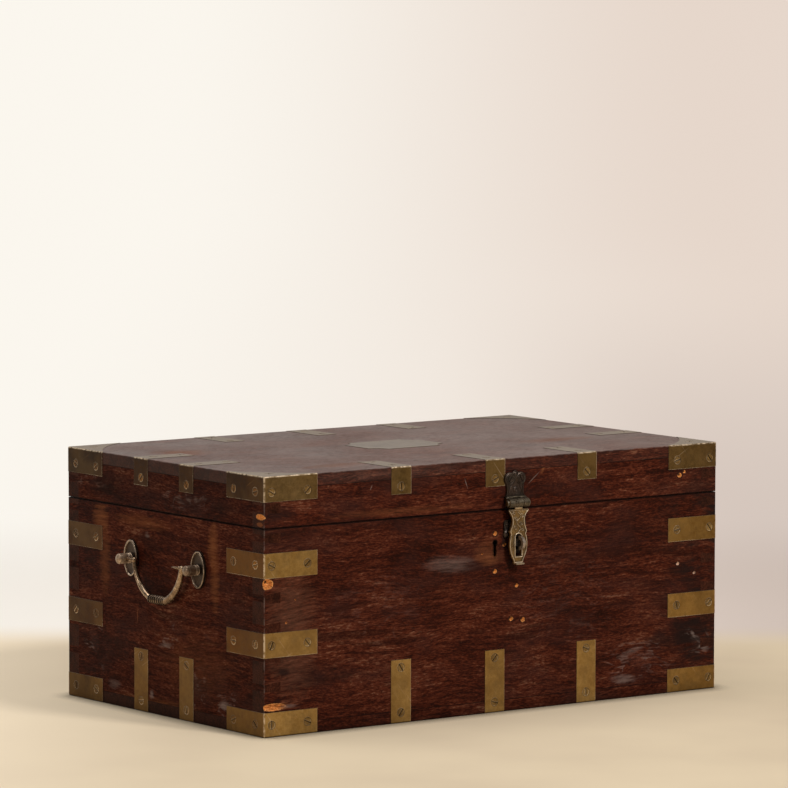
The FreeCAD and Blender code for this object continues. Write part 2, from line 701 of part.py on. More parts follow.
# The pierced arm. Its outline runs down one side and up the other.
def make_hasp_arm():
    def at(shares, sign):
        return hasp_point(sign * arm_half * shares[0], arm_back, arm_top - arm_long * shares[1])

    edges = []
    for sign in (1, -1):
        side = [Part.LineSegment(at(arm_top_shares, sign), at(arm_shoulder_shares, sign)),
                Part.Arc(at(arm_shoulder_shares, sign), at(arm_waist_shares, sign),
                         at(arm_below_waist_shares, sign)),
                Part.LineSegment(at(arm_below_waist_shares, sign), at(arm_cusp_shares, sign)),
                Part.LineSegment(at(arm_cusp_shares, sign), at(arm_notch_shares, sign)),
                Part.Arc(at(arm_notch_shares, sign), at(arm_oval_shares, sign),
                         at(arm_oval_end_shares, sign)),
                Part.LineSegment(at(arm_oval_end_shares, sign), at(arm_tip_shares, sign))]
        edges += [piece.toShape() for piece in side]
    edges.append(Part.LineSegment(at(arm_tip_shares, 1), at(arm_tip_shares, -1)).toShape())
    edges.append(Part.LineSegment(at(arm_top_shares, 1), at(arm_top_shares, -1)).toShape())
    plate = Part.Face(Part.Wire(Part.__sortEdges__(edges))).extrude(Vec(0, -arm_thick, 0))

    slot_top = arm_slot_high - arm_slot_half
    through = Vec(0, -arm_thick - 2 * overrun, 0)
    behind = arm_back - overrun
    slot = box(hasp_x - arm_slot_half, hasp_x + arm_slot_half, front_face - arm_back - arm_thick - overrun,
               front_face - behind, arm_slot_low, slot_top)
    slot = slot.fuse(rod(arm_slot_half, hasp_point(0, behind, slot_top),
                         hasp_point(0, behind, slot_top).add(through)))

    half_tip = arm_half * arm_tip_shares[0]
    tip = arm_top - arm_long
    face = arm_back + arm_thick
    side = [(arm_back, tip), (face + arm_lip, tip), (face + arm_lip, tip + arm_lip_thick / 2),
            (face, tip + arm_lip_thick)]
    lip = prism([hasp_point(-half_tip, out, z) for out, z in side], Vec(2 * half_tip, 0, 0))
    half_middle = hasp_middle_long / 2
    knuckle = rod(hasp_knuckle_radius, hasp_point(-half_middle, hasp_out, hasp_level),
                  hasp_point(half_middle, hasp_out, hasp_level))
    neck = box(hasp_x - half_middle, hasp_x + half_middle, front_face - arm_back - arm_thick,
               front_face - arm_back, arm_top - arm_thick, hasp_level)
    bore = rod(hasp_pin_radius + close_fit, hasp_point(-hasp_barrel_long, hasp_out, hasp_level),
               hasp_point(hasp_barrel_long, hasp_out, hasp_level))
    nodes["hasp_arm"] = plate.cut(slot).fuse([lip, knuckle, neck]).cut(bore)


# A bar bent to a D, standing upright out of its plate.
def make_staple():
    nose = staple_tall / 2

    def d_shape(radius, reach, half):
        bar = box(hasp_x - half, hasp_x + half, front_face - reach + radius, front_face,
                  staple_middle - radius, staple_middle + radius)
        return bar.fuse(rod(radius, hasp_point(-half, reach - radius, staple_middle),
                            hasp_point(half, reach - radius, staple_middle)))

    loop = d_shape(nose, staple_reach, staple_x_half)
    loop = loop.cut(d_shape(nose - staple_wire, staple_reach - staple_wire, staple_x_half + overrun))
    head = box(hasp_x - staple_plate_half, hasp_x + staple_plate_half, front_face - staple_plate_thick,
               front_face, staple_plate_low, staple_plate_high)
    upright = [e for e in head.Edges if e.BoundBox.YLength > staple_plate_thick / 2]
    head = head.makeFillet(staple_plate_round, upright)
    tongue = box(hasp_x - staple_tongue_half, hasp_x + staple_tongue_half, front_face - staple_plate_thick,
                 front_face, staple_middle - staple_tongue_drop, staple_plate_low + staple_plate_round)
    nodes["hasp_staple"] = loop.fuse([head, tongue])
    for sign in (-1, 1):
        at = hasp_point(sign * staple_screw_x, staple_plate_thick, staple_middle + staple_screw_rise)
        fasten("body_fitting_screws", small_screw_sizes, at, Vec(0, -1, 0))


def ellipse_disc(tall, wide, low, high):
    edge = Part.Ellipse(Vec(0, 0, low), tall / 2, wide / 2).toShape()
    return Part.Face(Part.Wire([edge])).extrude(Vec(0, 0, high - low))


# An oval rose with a rim and a turned post, bored across for the bail's peg.
def handle_post():
    rose = ellipse_disc(rose_tall, rose_wide, 0, rose_rise)
    dish = ellipse_disc(rose_tall - 2 * rose_rim, rose_wide - 2 * rose_rim, rose_floor, rose_rise + overrun)
    rose = rose.cut(dish)
    rim_edges = [e for e in rose.Edges if e.CenterOfMass.z > rose_rise - rose_bevel]
    rose = rose.makeChamfer(rose_bevel, rim_edges)
    points = [Vec(post_radius * r, 0, post_reach * z) for r, z in post_profile_shares]
    start = [Vec(0, 0, -tang_long), Vec(tang_radius, 0, -tang_long), Vec(tang_radius, 0, points[0].z)]
    chain = start + points
    edges = [Part.LineSegment(a, b).toShape() for a, b in zip(chain, chain[1:])]
    nose = Vec(post_radius * post_nose_shares[0], 0, post_reach * post_nose_shares[1])
    tip = Vec(post_radius * post_tip_shares[0], 0, post_reach * post_tip_shares[1])
    edges.append(Part.Arc(chain[-1], nose, tip).toShape())
    edges.append(Part.LineSegment(tip, Vec(0, 0, post_reach)).toShape())
    edges.append(Part.LineSegment(Vec(0, 0, post_reach), chain[0]).toShape())
    post = Part.Face(Part.Wire(edges)).revolve(Vec(0, 0, 0), up, 360)
    bore = rod(peg_radius + peg_fit, Vec(0, -rose_wide, pivot_out), Vec(0, rose_wide, pivot_out))
    return rose.fuse(post).cut(bore)


# Half of the bail, from the middle of the grip to the peg, then its mirror image, which has the finial.
def handle_bail():
    elbow = Vec(0, bail_half, 0)
    foot = Vec(0, grip_long / 2, -bail_drop)
    chord = foot.sub(elbow)
    bulge = Vec(0, -chord.z, chord.y).normalize().multiply(chord.Length * bail_bulge_share)
    middle = elbow.add(chord.multiply(0.5)).add(bulge)
    arc = Part.Arc(elbow, middle, foot).toShape()
    spine = Part.Wire([arc])
    shell = Part.BRepOffsetAPI.MakePipeShell(spine)
    for share, radius in ((0, arm_start_radius), (1, arm_end_radius)):
        parameter = arc.FirstParameter + share * (arc.LastParameter - arc.FirstParameter)
        centre = arc.valueAt(parameter)
        side = Vec(1, 0, 0)
        across = arc.tangentAt(parameter).cross(side)
        ring = []
        for index in range(arm_sides):
            turn = 2 * math.pi * (index + 0.5) / arm_sides
            ring.append(centre.add(side * (radius * math.cos(turn))).add(across * (radius * math.sin(turn))))
        shell.add(Part.makePolygon(ring + [ring[0]]), False, False)
    shell.build()
    shell.makeSolid()
    arm = shell.shape()
    peg_end = post_spacing / 2 + post_radius
    peg = rod(peg_radius, elbow, Vec(0, peg_end, 0))
    bead_at = Vec(0, bail_half - elbow_radius - finial_bead / 2, 0)
    finial = Part.makeCone(finial_root, finial_tip, elbow_radius + finial_long, elbow, Vec(0, -1, 0))
    bead = Part.makeSphere(finial_bead, bead_at)
    half = arm.fuse([Part.makeSphere(elbow_radius, elbow), peg])
    front_half = mirrored(half.fuse([finial, bead]), Vec(0, 1, 0))

    pitch = grip_long / grip_beads
    profile = []
    core = grip_radius
    for index in range(grip_beads):
        low = index * pitch - grip_long / 2
        profile.append(Part.Arc(Vec(0, low, core), Vec(0, low + pitch / 2, core + grip_bead),
                                Vec(0, low + pitch, core)).toShape())
    ends = [Vec(0, grip_long / 2, core), Vec(0, grip_long / 2, 0), Vec(0, -grip_long / 2, 0),
            Vec(0, -grip_long / 2, core)]
    profile += [Part.LineSegment(a, b).toShape() for a, b in zip(ends, ends[1:])]
    grip = Part.Face(Part.Wire(profile)).revolve(Vec(0, 0, 0), Vec(0, 1, 0), 360)
    grip.translate(Vec(0, 0, -bail_drop))
    return half.fuse([front_half, grip])


def make_handles():
    post = handle_post()
    bail = handle_bail()
    bail.translate(Vec(-half_width - pivot_out, handle_y, handle_level))
    sides = (("left", Vec(-1, 0, 0)), ("right", Vec(1, 0, 0)))
    for side, out in sides:
        x = out.x * half_width
        for place, sign in (("front", -1), ("back", 1)):
            at = Vec(x, handle_y + sign * post_spacing / 2, handle_level)
            nodes[side + "_handle_" + place + "_post"] = placed(post, at, out)
            screw_holes.append(rod(tang_radius + close_fit, at, at.sub(out * (tang_long + close_fit))))
            for step in (-1, 1):
                screw_at = at.add(out * rose_floor).add(Vec(0, 0, step * rose_screw_rise))
                fasten("handle_screws", small_screw_sizes, screw_at, out)
        nodes[side + "_handle_bail"] = bail if out.x < 0 else mirrored(bail, Vec(1, 0, 0))


# Trapezoid pins that reach through the front and back boards, narrow at the corner.
def pin_block(side, face, level):
    x_tip = side * half_width
    x_root = side * inner_half_width
    y_face = face * half_depth
    points = [Vec(x_tip, y_face, level - pin_tip / 2), Vec(x_root, y_face, level - pin_root / 2),
              Vec(x_root, y_face, level + pin_root / 2), Vec(x_tip, y_face, level + pin_tip / 2)]
    return prism(points, Vec(0, -face * board, 0))


# Four walls: front and back run the full width, the ends fit between and are pinned.
def make_walls(names, form, low, high, levels, cuts):
    front, back, left, right = names
    for name, face in ((front, -1), (back, 1)):
        y = (face * half_depth, face * inner_half_depth)
        wall = form.common(box(-half_width, half_width, min(y), max(y), low, high))
        pins = [pin_block(side, face, level) for side in (-1, 1) for level in levels]
        nodes[name] = cut_away(wall.cut(pins), cuts)
    for name, side in ((left, -1), (right, 1)):
        x = (side * half_width, side * inner_half_width)
        wall = box(min(x), max(x), -inner_half_depth, inner_half_depth, low, high)
        pins = [pin_block(side, face, level) for face in (-1, 1) for level in levels]
        nodes[name] = cut_away(form.common(wall.fuse(pins)), cuts)


make_corner_straps()
make_lid_caps()
make_edge_straps()
make_name_plate()
make_hinges()
make_lock_case()
make_lock_bolt()
make_link_plate()
make_hasp_plate()
make_hasp_arm()
make_staple()
make_handles()

# Holes go through the brass first, then brass and holes come out of the wood.
undrilled = ("hasp_arm", "hasp_pin", "hinge_pins", "lock_bolt", "name_plate_pins",
             "left_handle_bail", "right_handle_bail")
for name in nodes:
    if name not in undrilled:
        nodes[name] = cut_away(nodes[name], screw_holes)

let_in = []
for name, shape in nodes.items():
    if name.endswith(("_strap", "_straps", "_cap")) or name == "lid_name_plate":
        let_in += shape.Solids
wood_cuts = let_in + screw_holes

pin_total = int((rim - pin_root / 2 - first_pin) / pin_pitch) + 1
pin_levels = [first_pin + index * pin_pitch for index in range(pin_total)]
mortise = on_lock_line(box(-lock_half_long, lock_half_long, lock_front, lock_back + overrun,
                           lock_floor, rim + overrun))
make_walls(("front_board", "back_board", "left_end_board", "right_end_board"), body_form,
           base_thick, rim, pin_levels, wood_cuts + hinge_recesses() + [mortise, keyhole()])
make_walls(("lid_front_rail", "lid_back_rail", "lid_left_rail", "lid_right_rail"), lid_form,
           lid_base, height - top_thick, [(lid_base + height - top_thick) / 2],
           wood_cuts + hinge_recesses() + [on_lock_line(link_plate_recess())])
for name, form, low, high in (("bottom_board", body_form, 0, base_thick),
                              ("lid_top_board", lid_form, height - top_thick, height)):
    slab = box(-half_width, half_width, -half_depth, half_depth, low, high)
    nodes[name] = cut_away(form.common(slab), wood_cuts)

for group, pieces in screws.items():
    nodes[group] = Part.makeCompound(pieces)

for name in sorted(nodes):
    solids = nodes[name].Solids
    shape = solids[0] if len(solids) == 1 else Part.makeCompound(solids)
    shape.exportStep("parts/" + name + ".step")
    print(name, len(solids), round(shape.Volume), shape.isValid())
print(len(nodes), "nodes")
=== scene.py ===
import math

import bmesh
import bpy
from mathutils import Matrix, Vector


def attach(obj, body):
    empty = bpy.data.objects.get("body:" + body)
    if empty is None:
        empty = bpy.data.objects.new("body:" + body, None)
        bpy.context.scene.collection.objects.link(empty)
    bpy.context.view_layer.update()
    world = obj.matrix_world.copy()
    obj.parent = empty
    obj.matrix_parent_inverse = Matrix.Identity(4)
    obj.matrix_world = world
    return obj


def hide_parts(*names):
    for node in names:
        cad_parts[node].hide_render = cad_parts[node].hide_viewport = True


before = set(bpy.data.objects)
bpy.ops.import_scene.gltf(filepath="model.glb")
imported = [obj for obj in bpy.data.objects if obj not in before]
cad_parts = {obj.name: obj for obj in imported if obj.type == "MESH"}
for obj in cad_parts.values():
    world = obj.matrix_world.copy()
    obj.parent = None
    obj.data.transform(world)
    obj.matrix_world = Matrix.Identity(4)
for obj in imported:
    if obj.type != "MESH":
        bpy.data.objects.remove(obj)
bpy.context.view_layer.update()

print("frame loaded:", len(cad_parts), "nodes")

mm = 0.001

# Blender works in metres. Sizes and places below are in millimetres, and "mm" turns them.
chest = {
    "halfWidth": 292 * mm,
    "halfDepth": 178 * mm,
    "height": 262 * mm,
    "seam": 209.7 * mm,       # middle of the gap between lid and body
    "seamGrimeAndShade": 1.5 * mm,
    "joints": (12.5 * mm, 249.5 * mm),      # where base and top board meet the sides
    "jointLine": 0.55 * mm,
    "edgeWear": 1.3 * mm,
}


def startMaterial(name):
    material = bpy.data.materials.new(name)
    material.use_nodes = True
    tree = material.node_tree
    return material, tree, tree.nodes["Principled BSDF"]


def put(tree, kind, inputs=None, **settings):
    node = tree.nodes.new("ShaderNode" + kind)
    for key, value in settings.items():
        setattr(node, key, value)
    for key, value in (inputs or {}).items():
        if isinstance(value, bpy.types.NodeSocket):
            tree.links.new(value, node.inputs[key])
        else:
            node.inputs[key].default_value = value
    return node


def maths(tree, operation, first, second=0.0, clamp=False):
    node = put(tree, "Math", {0: first, 1: second}, operation=operation)
    node.use_clamp = clamp
    return node.outputs[0]


def times(tree, first, second):
    return maths(tree, "MULTIPLY", first, second)


def plus(tree, first, second):
    return maths(tree, "ADD", first, second)


def spread(tree, value, low, high, toLow=0.0, toHigh=1.0, smooth=False):
    kind = "SMOOTHSTEP" if smooth else "LINEAR"
    node = put(tree, "MapRange", {"Value": value, "From Min": low, "From Max": high,
                                  "To Min": toLow, "To Max": toHigh}, interpolation_type=kind)
    return node.outputs["Result"]


def mixColour(tree, share, first, second, blend="MIX"):
    node = put(tree, "Mix", {0: share, 6: first, 7: second}, data_type="RGBA", blend_type=blend)
    return node.outputs[2]


# Multiplies a tone by a factor, as far as share says.
def tint(tree, share, tone, factor):
    return mixColour(tree, share, tone, factor, "MULTIPLY")


def farFrom(tree, value, middle=0.0):
    return maths(tree, "ABSOLUTE", maths(tree, "SUBTRACT", value, middle))


def objectNormal(tree):
    return partsOf(tree, put(tree, "TexCoord").outputs["Normal"])


def colour(r, g, b):
    return (r, g, b, 1.0)


def grey(level):
    return (level, level, level, 1.0)


def ramp(tree, value, stops):
    node = put(tree, "ValToRGB", {"Fac": value})
    elements = node.color_ramp.elements
    while len(elements) < len(stops):
        elements.new(0.5)
    for element, (place, tone) in zip(elements, stops):
        element.position = place
        element.color = tone
    return node.outputs["Color"]


def noise(tree, point, scale, detail=3.0, roughness=0.5, distortion=0.0):
    node = put(tree, "TexNoise", {"Vector": point, "Scale": scale, "Detail": detail,
                                  "Roughness": roughness, "Distortion": distortion})
    return node.outputs["Fac"]


def stretched(tree, point, scale, shift=(0, 0, 0)):
    return put(tree, "Mapping", {"Vector": point, "Location": shift, "Scale": scale}).outputs[0]


def partsOf(tree, vector):
    return put(tree, "SeparateXYZ", {0: vector}).outputs


# Nearness to one of the chest's outer edges, from 0 to 1: two of the three faces are close by.
def nearOuterEdge(tree, point, reach):
    x, y, z = partsOf(tree, point)
    gapX = maths(tree, "SUBTRACT", chest["halfWidth"], maths(tree, "ABSOLUTE", x))
    gapY = maths(tree, "SUBTRACT", chest["halfDepth"], maths(tree, "ABSOLUTE", y))
    gapZ = maths(tree, "SUBTRACT", chest["height"], z)
    least = maths(tree, "MINIMUM", gapX, gapY)
    most = maths(tree, "MAXIMUM", gapX, gapY)
    second = maths(tree, "MAXIMUM", least, maths(tree, "MINIMUM", most, gapZ))
    return spread(tree, second, reach, reach * 0.3, 0.0, 1.0)


# How far the surface turns within a small radius, which finds edges of any piece. Edges that lean down,
# forward and to the right get a painted highlight on top of their wear, and those that lean up, back and to
# the left get painted shade with some dirt.
def rubbedEdgeAndPaintedLight(tree, radius, start=0.99, end=0.90):
    bevel = put(tree, "Bevel", {"Radius": radius * mm}, samples=4)
    facing = put(tree, "NewGeometry").outputs["Normal"]
    turn = put(tree, "VectorMath", {0: bevel.outputs[0], 1: facing}, operation="DOT_PRODUCT")
    edge = spread(tree, turn.outputs["Value"], start, end)
    away = put(tree, "VectorMath", {0: bevel.outputs[0], 1: facing}, operation="SUBTRACT")
    lean = put(tree, "VectorMath", {0: away.outputs[0], 1: (0.55, -0.35, -0.75)}, operation="DOT_PRODUCT")
    bright = times(tree, edge, spread(tree, lean.outputs["Value"], -0.05, 0.20, 0.15, 1.0))
    dirtyAndShaded = times(tree, edge, spread(tree, lean.outputs["Value"], 0.02, -0.15, 0.0, 1.0))
    return bright, dirtyAndShaded


# Share of a place that is shut in by pieces near it, from ambient occlusion. It paints shade into corners,
# gaps and hollows, where grime also stays.
def occlusionShade(tree, reach, low=0.55, high=0.95):
    shade = put(tree, "AmbientOcclusion", {"Distance": reach * mm}, samples=4)
    return spread(tree, shade.outputs["AO"], low, high, 1.0, 0.0)


# One soft-edged spot: an ellipsoid with its own place, size and turn. 1 inside, 0 outside.
def spot(tree, point, mark, soft):
    local = put(tree, "Mapping", {
        "Vector": point, "Location": [v * mm for v in mark["at"]], "Scale": [v * mm for v in mark["half"]],
        "Rotation": [math.radians(a) for a in mark.get("turn", (0, 0, 0))]}, vector_type="TEXTURE")
    away = put(tree, "VectorMath", {0: local.outputs[0]}, operation="LENGTH").outputs["Value"]
    return spread(tree, away, 1.0, 1.0 - soft, 0.0, 1.0, smooth=True)


rosewoodLook = {
    "deep": colour(0.0150, 0.0027, 0.0012),
    "brown": colour(0.0480, 0.0084, 0.0033),
    "warm": colour(0.0950, 0.0225, 0.0100),
    "light": colour(0.1750, 0.0720, 0.0400),
    "plum": colour(0.0360, 0.0115, 0.0085),
    "nearBlack": colour(0.0135, 0.0064, 0.0052),
    "endGrain": colour(0.0230, 0.0072, 0.0040),
    "endWarm": colour(0.0520, 0.0150, 0.0078),
    "rawWood": colour(0.72, 0.255, 0.062),
    "rawPale": colour(0.80, 0.40, 0.15),
    "rawPink": colour(0.60, 0.38, 0.27),
    "scuff": colour(0.215, 0.160, 0.140),
    "wornRed": colour(0.180, 0.062, 0.024),
    "dustAndSheen": colour(0.23, 0.170, 0.150),
    "joint": colour(0.0040, 0.0022, 0.0018),
    "toneRange": (1.30, 2.13),      # sum of the grain's noises at the darkest and the lightest tone
    "sway": 0.030,                  # how far the fibres wander from straight
    "plumShare": 0.60,
    "veinShare": 0.55,
    "speckShare": 0.34,
    "poreShare": 0.55,
    "edgeShare": 0.50,
    "jointShares": (0.50, 0.95),
    "seamShare": 0.94,
    "creviceShadeShare": 0.72,              # painted shade where other pieces stand close
    "creviceShadeReach": 7.0,
    "roughness": (0.42, 0.58),
    "poreRough": 0.2,
    "bump": 0.30 * mm,
}
# Sizes of the wood's noises, in lumps to a metre.
grainSizes = {
    "wander": 5.5,
    "clouds": 19,
    "hue": 26,
    "swirl": 55,
    "patch": 60,
    "figure": 75,
    "veins": 105,
    "broken": 110,
    "streaks": 330,
    "crumbs": 620,
    "fibre": 850,
    "pores": 1150,
}


# Bare wood in a chip or a hole: pale at the rim, crumbly, with some red left on the fibres.
def rawTone(tree, area, crumbs, fibre):
    look = rosewoodLook
    rim = times(tree, spread(tree, area, 0.75, 0.30), 0.7)
    tone = mixColour(tree, rim, look["rawWood"], look["rawPale"])
    tone = tint(tree, 1.0, tone, ramp(tree, crumbs, [(0.38, grey(0.55)), (0.62, grey(1.1))]))
    return mixColour(tree, spread(tree, fibre, 0.35, 0.55, 0.45, 0.0), tone, look["wornRed"])


# Wood with its fibres along "X" or "Y". The ends are how dark the blotches are at its two ends.
def rosewood(name, grain, shift, marks=(), ends=(0.5, 0.5), level=1.0, dustAndSheenShare=0.0, specular=0.055):
    look, size = rosewoodLook, grainSizes
    material, tree, shader = startMaterial(name)
    point = put(tree, "TexCoord").outputs["Object"]
    normal = objectNormal(tree)
    wander = put(tree, "TexNoise", {"Vector": stretched(tree, point, (1, 1, 1), shift),
                                    "Scale": size["wander"], "Detail": 2.0}).outputs["Color"]
    swayed = put(tree, "Mix", {0: look["sway"], 4: point, 5: wander}, data_type="VECTOR").outputs[1]

    def along(stretch):
        return stretched(tree, swayed, {"X": (1 / stretch, 1, 1), "Y": (1, 1 / stretch, 1)}[grain], shift)

    clouds = noise(tree, stretched(tree, point, (0.45, 0.45, 1.0), shift), size["clouds"], 3, 0.55)
    figure = noise(tree, along(8), size["figure"], 3, 0.62, 0.25)
    streaks = noise(tree, along(9), size["streaks"], 4, 0.68)
    fibre = noise(tree, along(4), size["fibre"], 2, 0.6)
    pores = noise(tree, along(9), size["pores"], 1, 0.5)
    veins = noise(tree, along(15), size["veins"], 2, 0.5, 0.3)
    crumbs = noise(tree, point, size["crumbs"], 3, 0.65)

    sums = plus(tree, times(tree, clouds, 0.75), times(tree, figure, 0.60))
    sums = plus(tree, sums, plus(tree, times(tree, streaks, 1.05), times(tree, fibre, 1.05)))
    tone = ramp(tree, spread(tree, sums, *look["toneRange"]), [(0.18, look["deep"]), (0.48, look["brown"]),
                                                               (0.76, look["warm"]), (1.0, look["light"])])
    turned = (shift[1], shift[2], shift[0])
    hue = noise(tree, stretched(tree, point, (0.5, 0.5, 1.0), turned), size["hue"], 3, 0.6)
    tone = mixColour(tree, spread(tree, hue, 0.50, 0.68, 0.0, look["plumShare"]), tone, look["plum"])
    vein = times(tree, spread(tree, veins, 0.405, 0.365), spread(tree, clouds, 0.40, 0.56))
    tone = mixColour(tree, times(tree, vein, look["veinShare"]), tone, look["deep"])
    speck = spread(tree, crumbs, 0.655, 0.70)
    tone = mixColour(tree, times(tree, speck, look["speckShare"]), tone, look["light"])
    poreDark = spread(tree, pores, 0.37, 0.42, 1.0, 0.0)
    tone = mixColour(tree, times(tree, poreDark, look["poreShare"]), tone, look["deep"])

    # Darker blotches, more of them towards the board's ends.
    axis = 0 if grain == "X" else 1
    reach = chest["halfWidth"] if grain == "X" else chest["halfDepth"]
    place = partsOf(tree, point)
    endness = spread(tree, farFrom(tree, place[axis]), reach * 0.62, reach, 0.12, 1.0, True)
    patch = spread(tree, noise(tree, along(4), size["patch"], 4, 0.70, 0.2), 0.44, 0.60)
    atEnd = spread(tree, place[axis], -reach * 0.4, reach * 0.4, ends[0], ends[1])
    tone = mixColour(tree, times(tree, endness, times(tree, patch, atEnd)), tone, look["nearBlack"])

    # End grain has no streaks.
    endFace = spread(tree, farFrom(tree, normal[axis]), 0.75, 0.9)
    endTone = mixColour(tree, spread(tree, patch, 0.1, 0.9, 0.15, 0.85), look["endWarm"], look["endGrain"])
    endTone = tint(tree, 1.0, endTone, ramp(tree, crumbs, [(0.35, grey(0.5)), (0.65, grey(1.35))]))
    tone = mixColour(tree, endFace, tone, endTone)
    if level != 1.0:
        tone = tint(tree, 1.0, tone, grey(level))

    # Outer edges rubbed paler, dark lines where boards meet, and grime with painted shade along the gap
    # between lid and body.
    broken = spread(tree, noise(tree, point, size["broken"], 4, 0.7), 0.46, 0.58, 0.10, 1.0)
    edge = times(tree, nearOuterEdge(tree, point, chest["edgeWear"]), broken)
    tone = mixColour(tree, times(tree, edge, look["edgeShare"]), tone, look["scuff"])
    upright = spread(tree, farFrom(tree, normal[2]), 0.5, 0.9, 1.0, 0.0)
    uneven = spread(tree, clouds, 0.3, 0.6, *look["jointShares"])
    for joint in chest["joints"]:
        line = spread(tree, farFrom(tree, place[2], joint), chest["jointLine"], chest["jointLine"] * 0.4)
        tone = mixColour(tree, times(tree, times(tree, upright, line), uneven), tone, look["joint"])
    fromSeam = farFrom(tree, place[2], chest["seam"])
    grimeAndShade = spread(tree, fromSeam, chest["seamGrimeAndShade"], chest["seamGrimeAndShade"] * 0.55, 0.0, look["seamShare"])
    tone = mixColour(tree, times(tree, grimeAndShade, upright), tone, look["joint"])
    # Painted shade from ambient occlusion, darkest where the hasp, handles and straps stand close to the
    # wood.
    creviceShadeAndGrime = times(tree, occlusionShade(tree, look["creviceShadeReach"], 0.40, 0.92), look["creviceShadeShare"])
    tone = mixColour(tree, creviceShadeAndGrime, tone, look["joint"])
    rough = spread(tree, clouds, 0.3, 0.7, *look["roughness"])
    rough = plus(tree, rough, times(tree, poreDark, look["poreRough"]))
    # Up-facing faces take a pale tone: dust, and a painted sheen standing in for the pale room seen at a
    # grazing angle.
    if dustAndSheenShare:
        dustAndSheen = times(tree, spread(tree, streaks, 0.36, 0.68, 0.62, 1.0),
                     spread(tree, hue, 0.34, 0.62, 0.55, 1.0))
        dustAndSheen = times(tree, times(tree, dustAndSheen, dustAndSheenShare), spread(tree, normal[2], 0.7, 0.95))
        tone = mixColour(tree, dustAndSheen, tone, look["dustAndSheen"])

    swirl = noise(tree, stretched(tree, point, (0.5, 0.5, 1.0), shift), size["swirl"], 3, 0.55, 0.6)
    wisps = times(tree, spread(tree, farFrom(tree, swirl, 0.5), 0.045, 0.0),
                  spread(tree, streaks, 0.44, 0.60, 0.05, 1.0))
    grits = {"streaks": streaks, "crumbs": crumbs, "figure": patch, "wisps": wisps}
    hollow = 0.0
    for mark in marks:
        kind = markKinds[mark["kind"]]
        area = spot(tree, point, mark, kind["soft"])
        ragged = plus(tree, times(tree, area, kind["fill"]), times(tree, grits[kind["grit"]], kind["rag"]))
        share = times(tree, spread(tree, ragged, kind["low"], kind["high"]),
                      times(tree, spread(tree, area, 0.0, 0.25), mark.get("strength", kind["strength"])))
        painted = look[mark.get("tone", kind["tone"])]
        if kind["tone"] == "rawWood" and "tone" not in mark:
            painted = rawTone(tree, area, crumbs, fibre)
            hollow = plus(tree, share, hollow)
        tone = mixColour(tree, share, tone, painted)
        rough = plus(tree, rough, times(tree, share, 0.2))

    relief = plus(tree, times(tree, fibre, 0.35), times(tree, streaks, 0.5))
    relief = maths(tree, "SUBTRACT", relief, times(tree, poreDark, 0.6))
    relief = maths(tree, "SUBTRACT", relief, hollow)
    bump = put(tree, "Bump", {"Height": relief, "Strength": 0.40, "Distance": look["bump"]})
    tree.links.new(tone, shader.inputs["Base Color"])
    tree.links.new(rough, shader.inputs["Roughness"])
    tree.links.new(bump.outputs[0], shader.inputs["Normal"])
    shader.inputs["Specular IOR Level"].default_value = specular
    return material


# How each kind of mark is drawn: its tone, and the grit that makes it ragged. It starts to show where
# fill and rag add up to low, and is full at high.
markKinds = {
    "chip": dict(tone="rawWood", grit="crumbs", fill=1.0, rag=0.55, low=0.50, high=0.62,
                 soft=0.45, strength=1.0),
    "hole": dict(tone="rawWood", grit="crumbs", fill=1.0, rag=0.45, low=0.50, high=0.62,
                 soft=0.7, strength=0.95),
    "ring": dict(tone="nearBlack", grit="crumbs", fill=1.0, rag=0.30, low=0.25, high=0.55,
                 soft=0.9, strength=0.55),
    "smear": dict(tone="scuff", grit="wisps", fill=0.16, rag=0.70, low=0.10, high=1.05,
                  soft=1.0, strength=0.62),
    "cloud": dict(tone="scuff", grit="streaks", fill=0.35, rag=1.1, low=0.55, high=1.00,
                  soft=1.0, strength=0.55),
    "scratch": dict(tone="scuff", grit="crumbs", fill=0.6, rag=0.5, low=0.35, high=0.70,
                    soft=1.0, strength=0.55),
    "patch": dict(tone="wornRed", grit="streaks", fill=0.34, rag=1.0, low=0.45, high=0.95,
                  soft=1.0, strength=0.65),
    "shadow": dict(tone="joint", grit="crumbs", fill=1.0, rag=0.35, low=0.45, high=0.70,
                   soft=0.6, strength=1.0),
    "stain": dict(tone="nearBlack", grit="figure", fill=0.7, rag=0.5, low=0.35, high=0.9,
                  soft=1.0, strength=0.75),
}


# Marks on the front, the left end and the lid's top, which reach a little way into the wood.
faceAt = {"front": -178, "left": -292, "top": 262, "deep": 9}


def onFront(kind, x, z, halfX, halfZ, turn=0, **more):
    place, half = (x, faceAt["front"], z), (halfX, faceAt["deep"], halfZ)
    return dict(kind=kind, at=place, half=half, turn=(0, turn, 0), **more)


def onLeft(kind, y, z, halfY, halfZ, turn=0, **more):
    place, half = (faceAt["left"], y, z), (faceAt["deep"], halfY, halfZ)
    return dict(kind=kind, at=place, half=half, turn=(turn, 0, 0), **more)


def onTop(kind, x, y, halfX, halfY, turn=0, **more):
    place, half = (x, y, faceAt["top"]), (halfX, halfY, faceAt["deep"])
    return dict(kind=kind, at=place, half=half, turn=(0, 0, turn), **more)


# Old screw holes on the front, as (across, up, radius), in millimetres.
bodyHoles = [(-2.3, 185.4, 2.5), (9.6, 173.2, 2.3), (-2.4, 146.3, 2.5), (-18.8, 165.3, 1.1),
             (25.9, 129.6, 2.1), (18.9, 95.5, 2.4), (34.1, 93.6, 2.6), (240.3, 136.5, 1.9),
             (262.8, 125.3, 1.6), (-265.0, 114.0, 1.3), (-253.8, 136.5, 0.9)]
lidHoles = [(242.2, 230.1, 2.6), (248.4, 233.4, 1.7)]
# Chips at the near corner, as (place, half sizes).
chips = [((-288.6, -178.6, 154.3), (6.6, 3.2, 4.7)), ((-281.0, -178.6, 30.2), (13.5, 2.4, 3.3))]


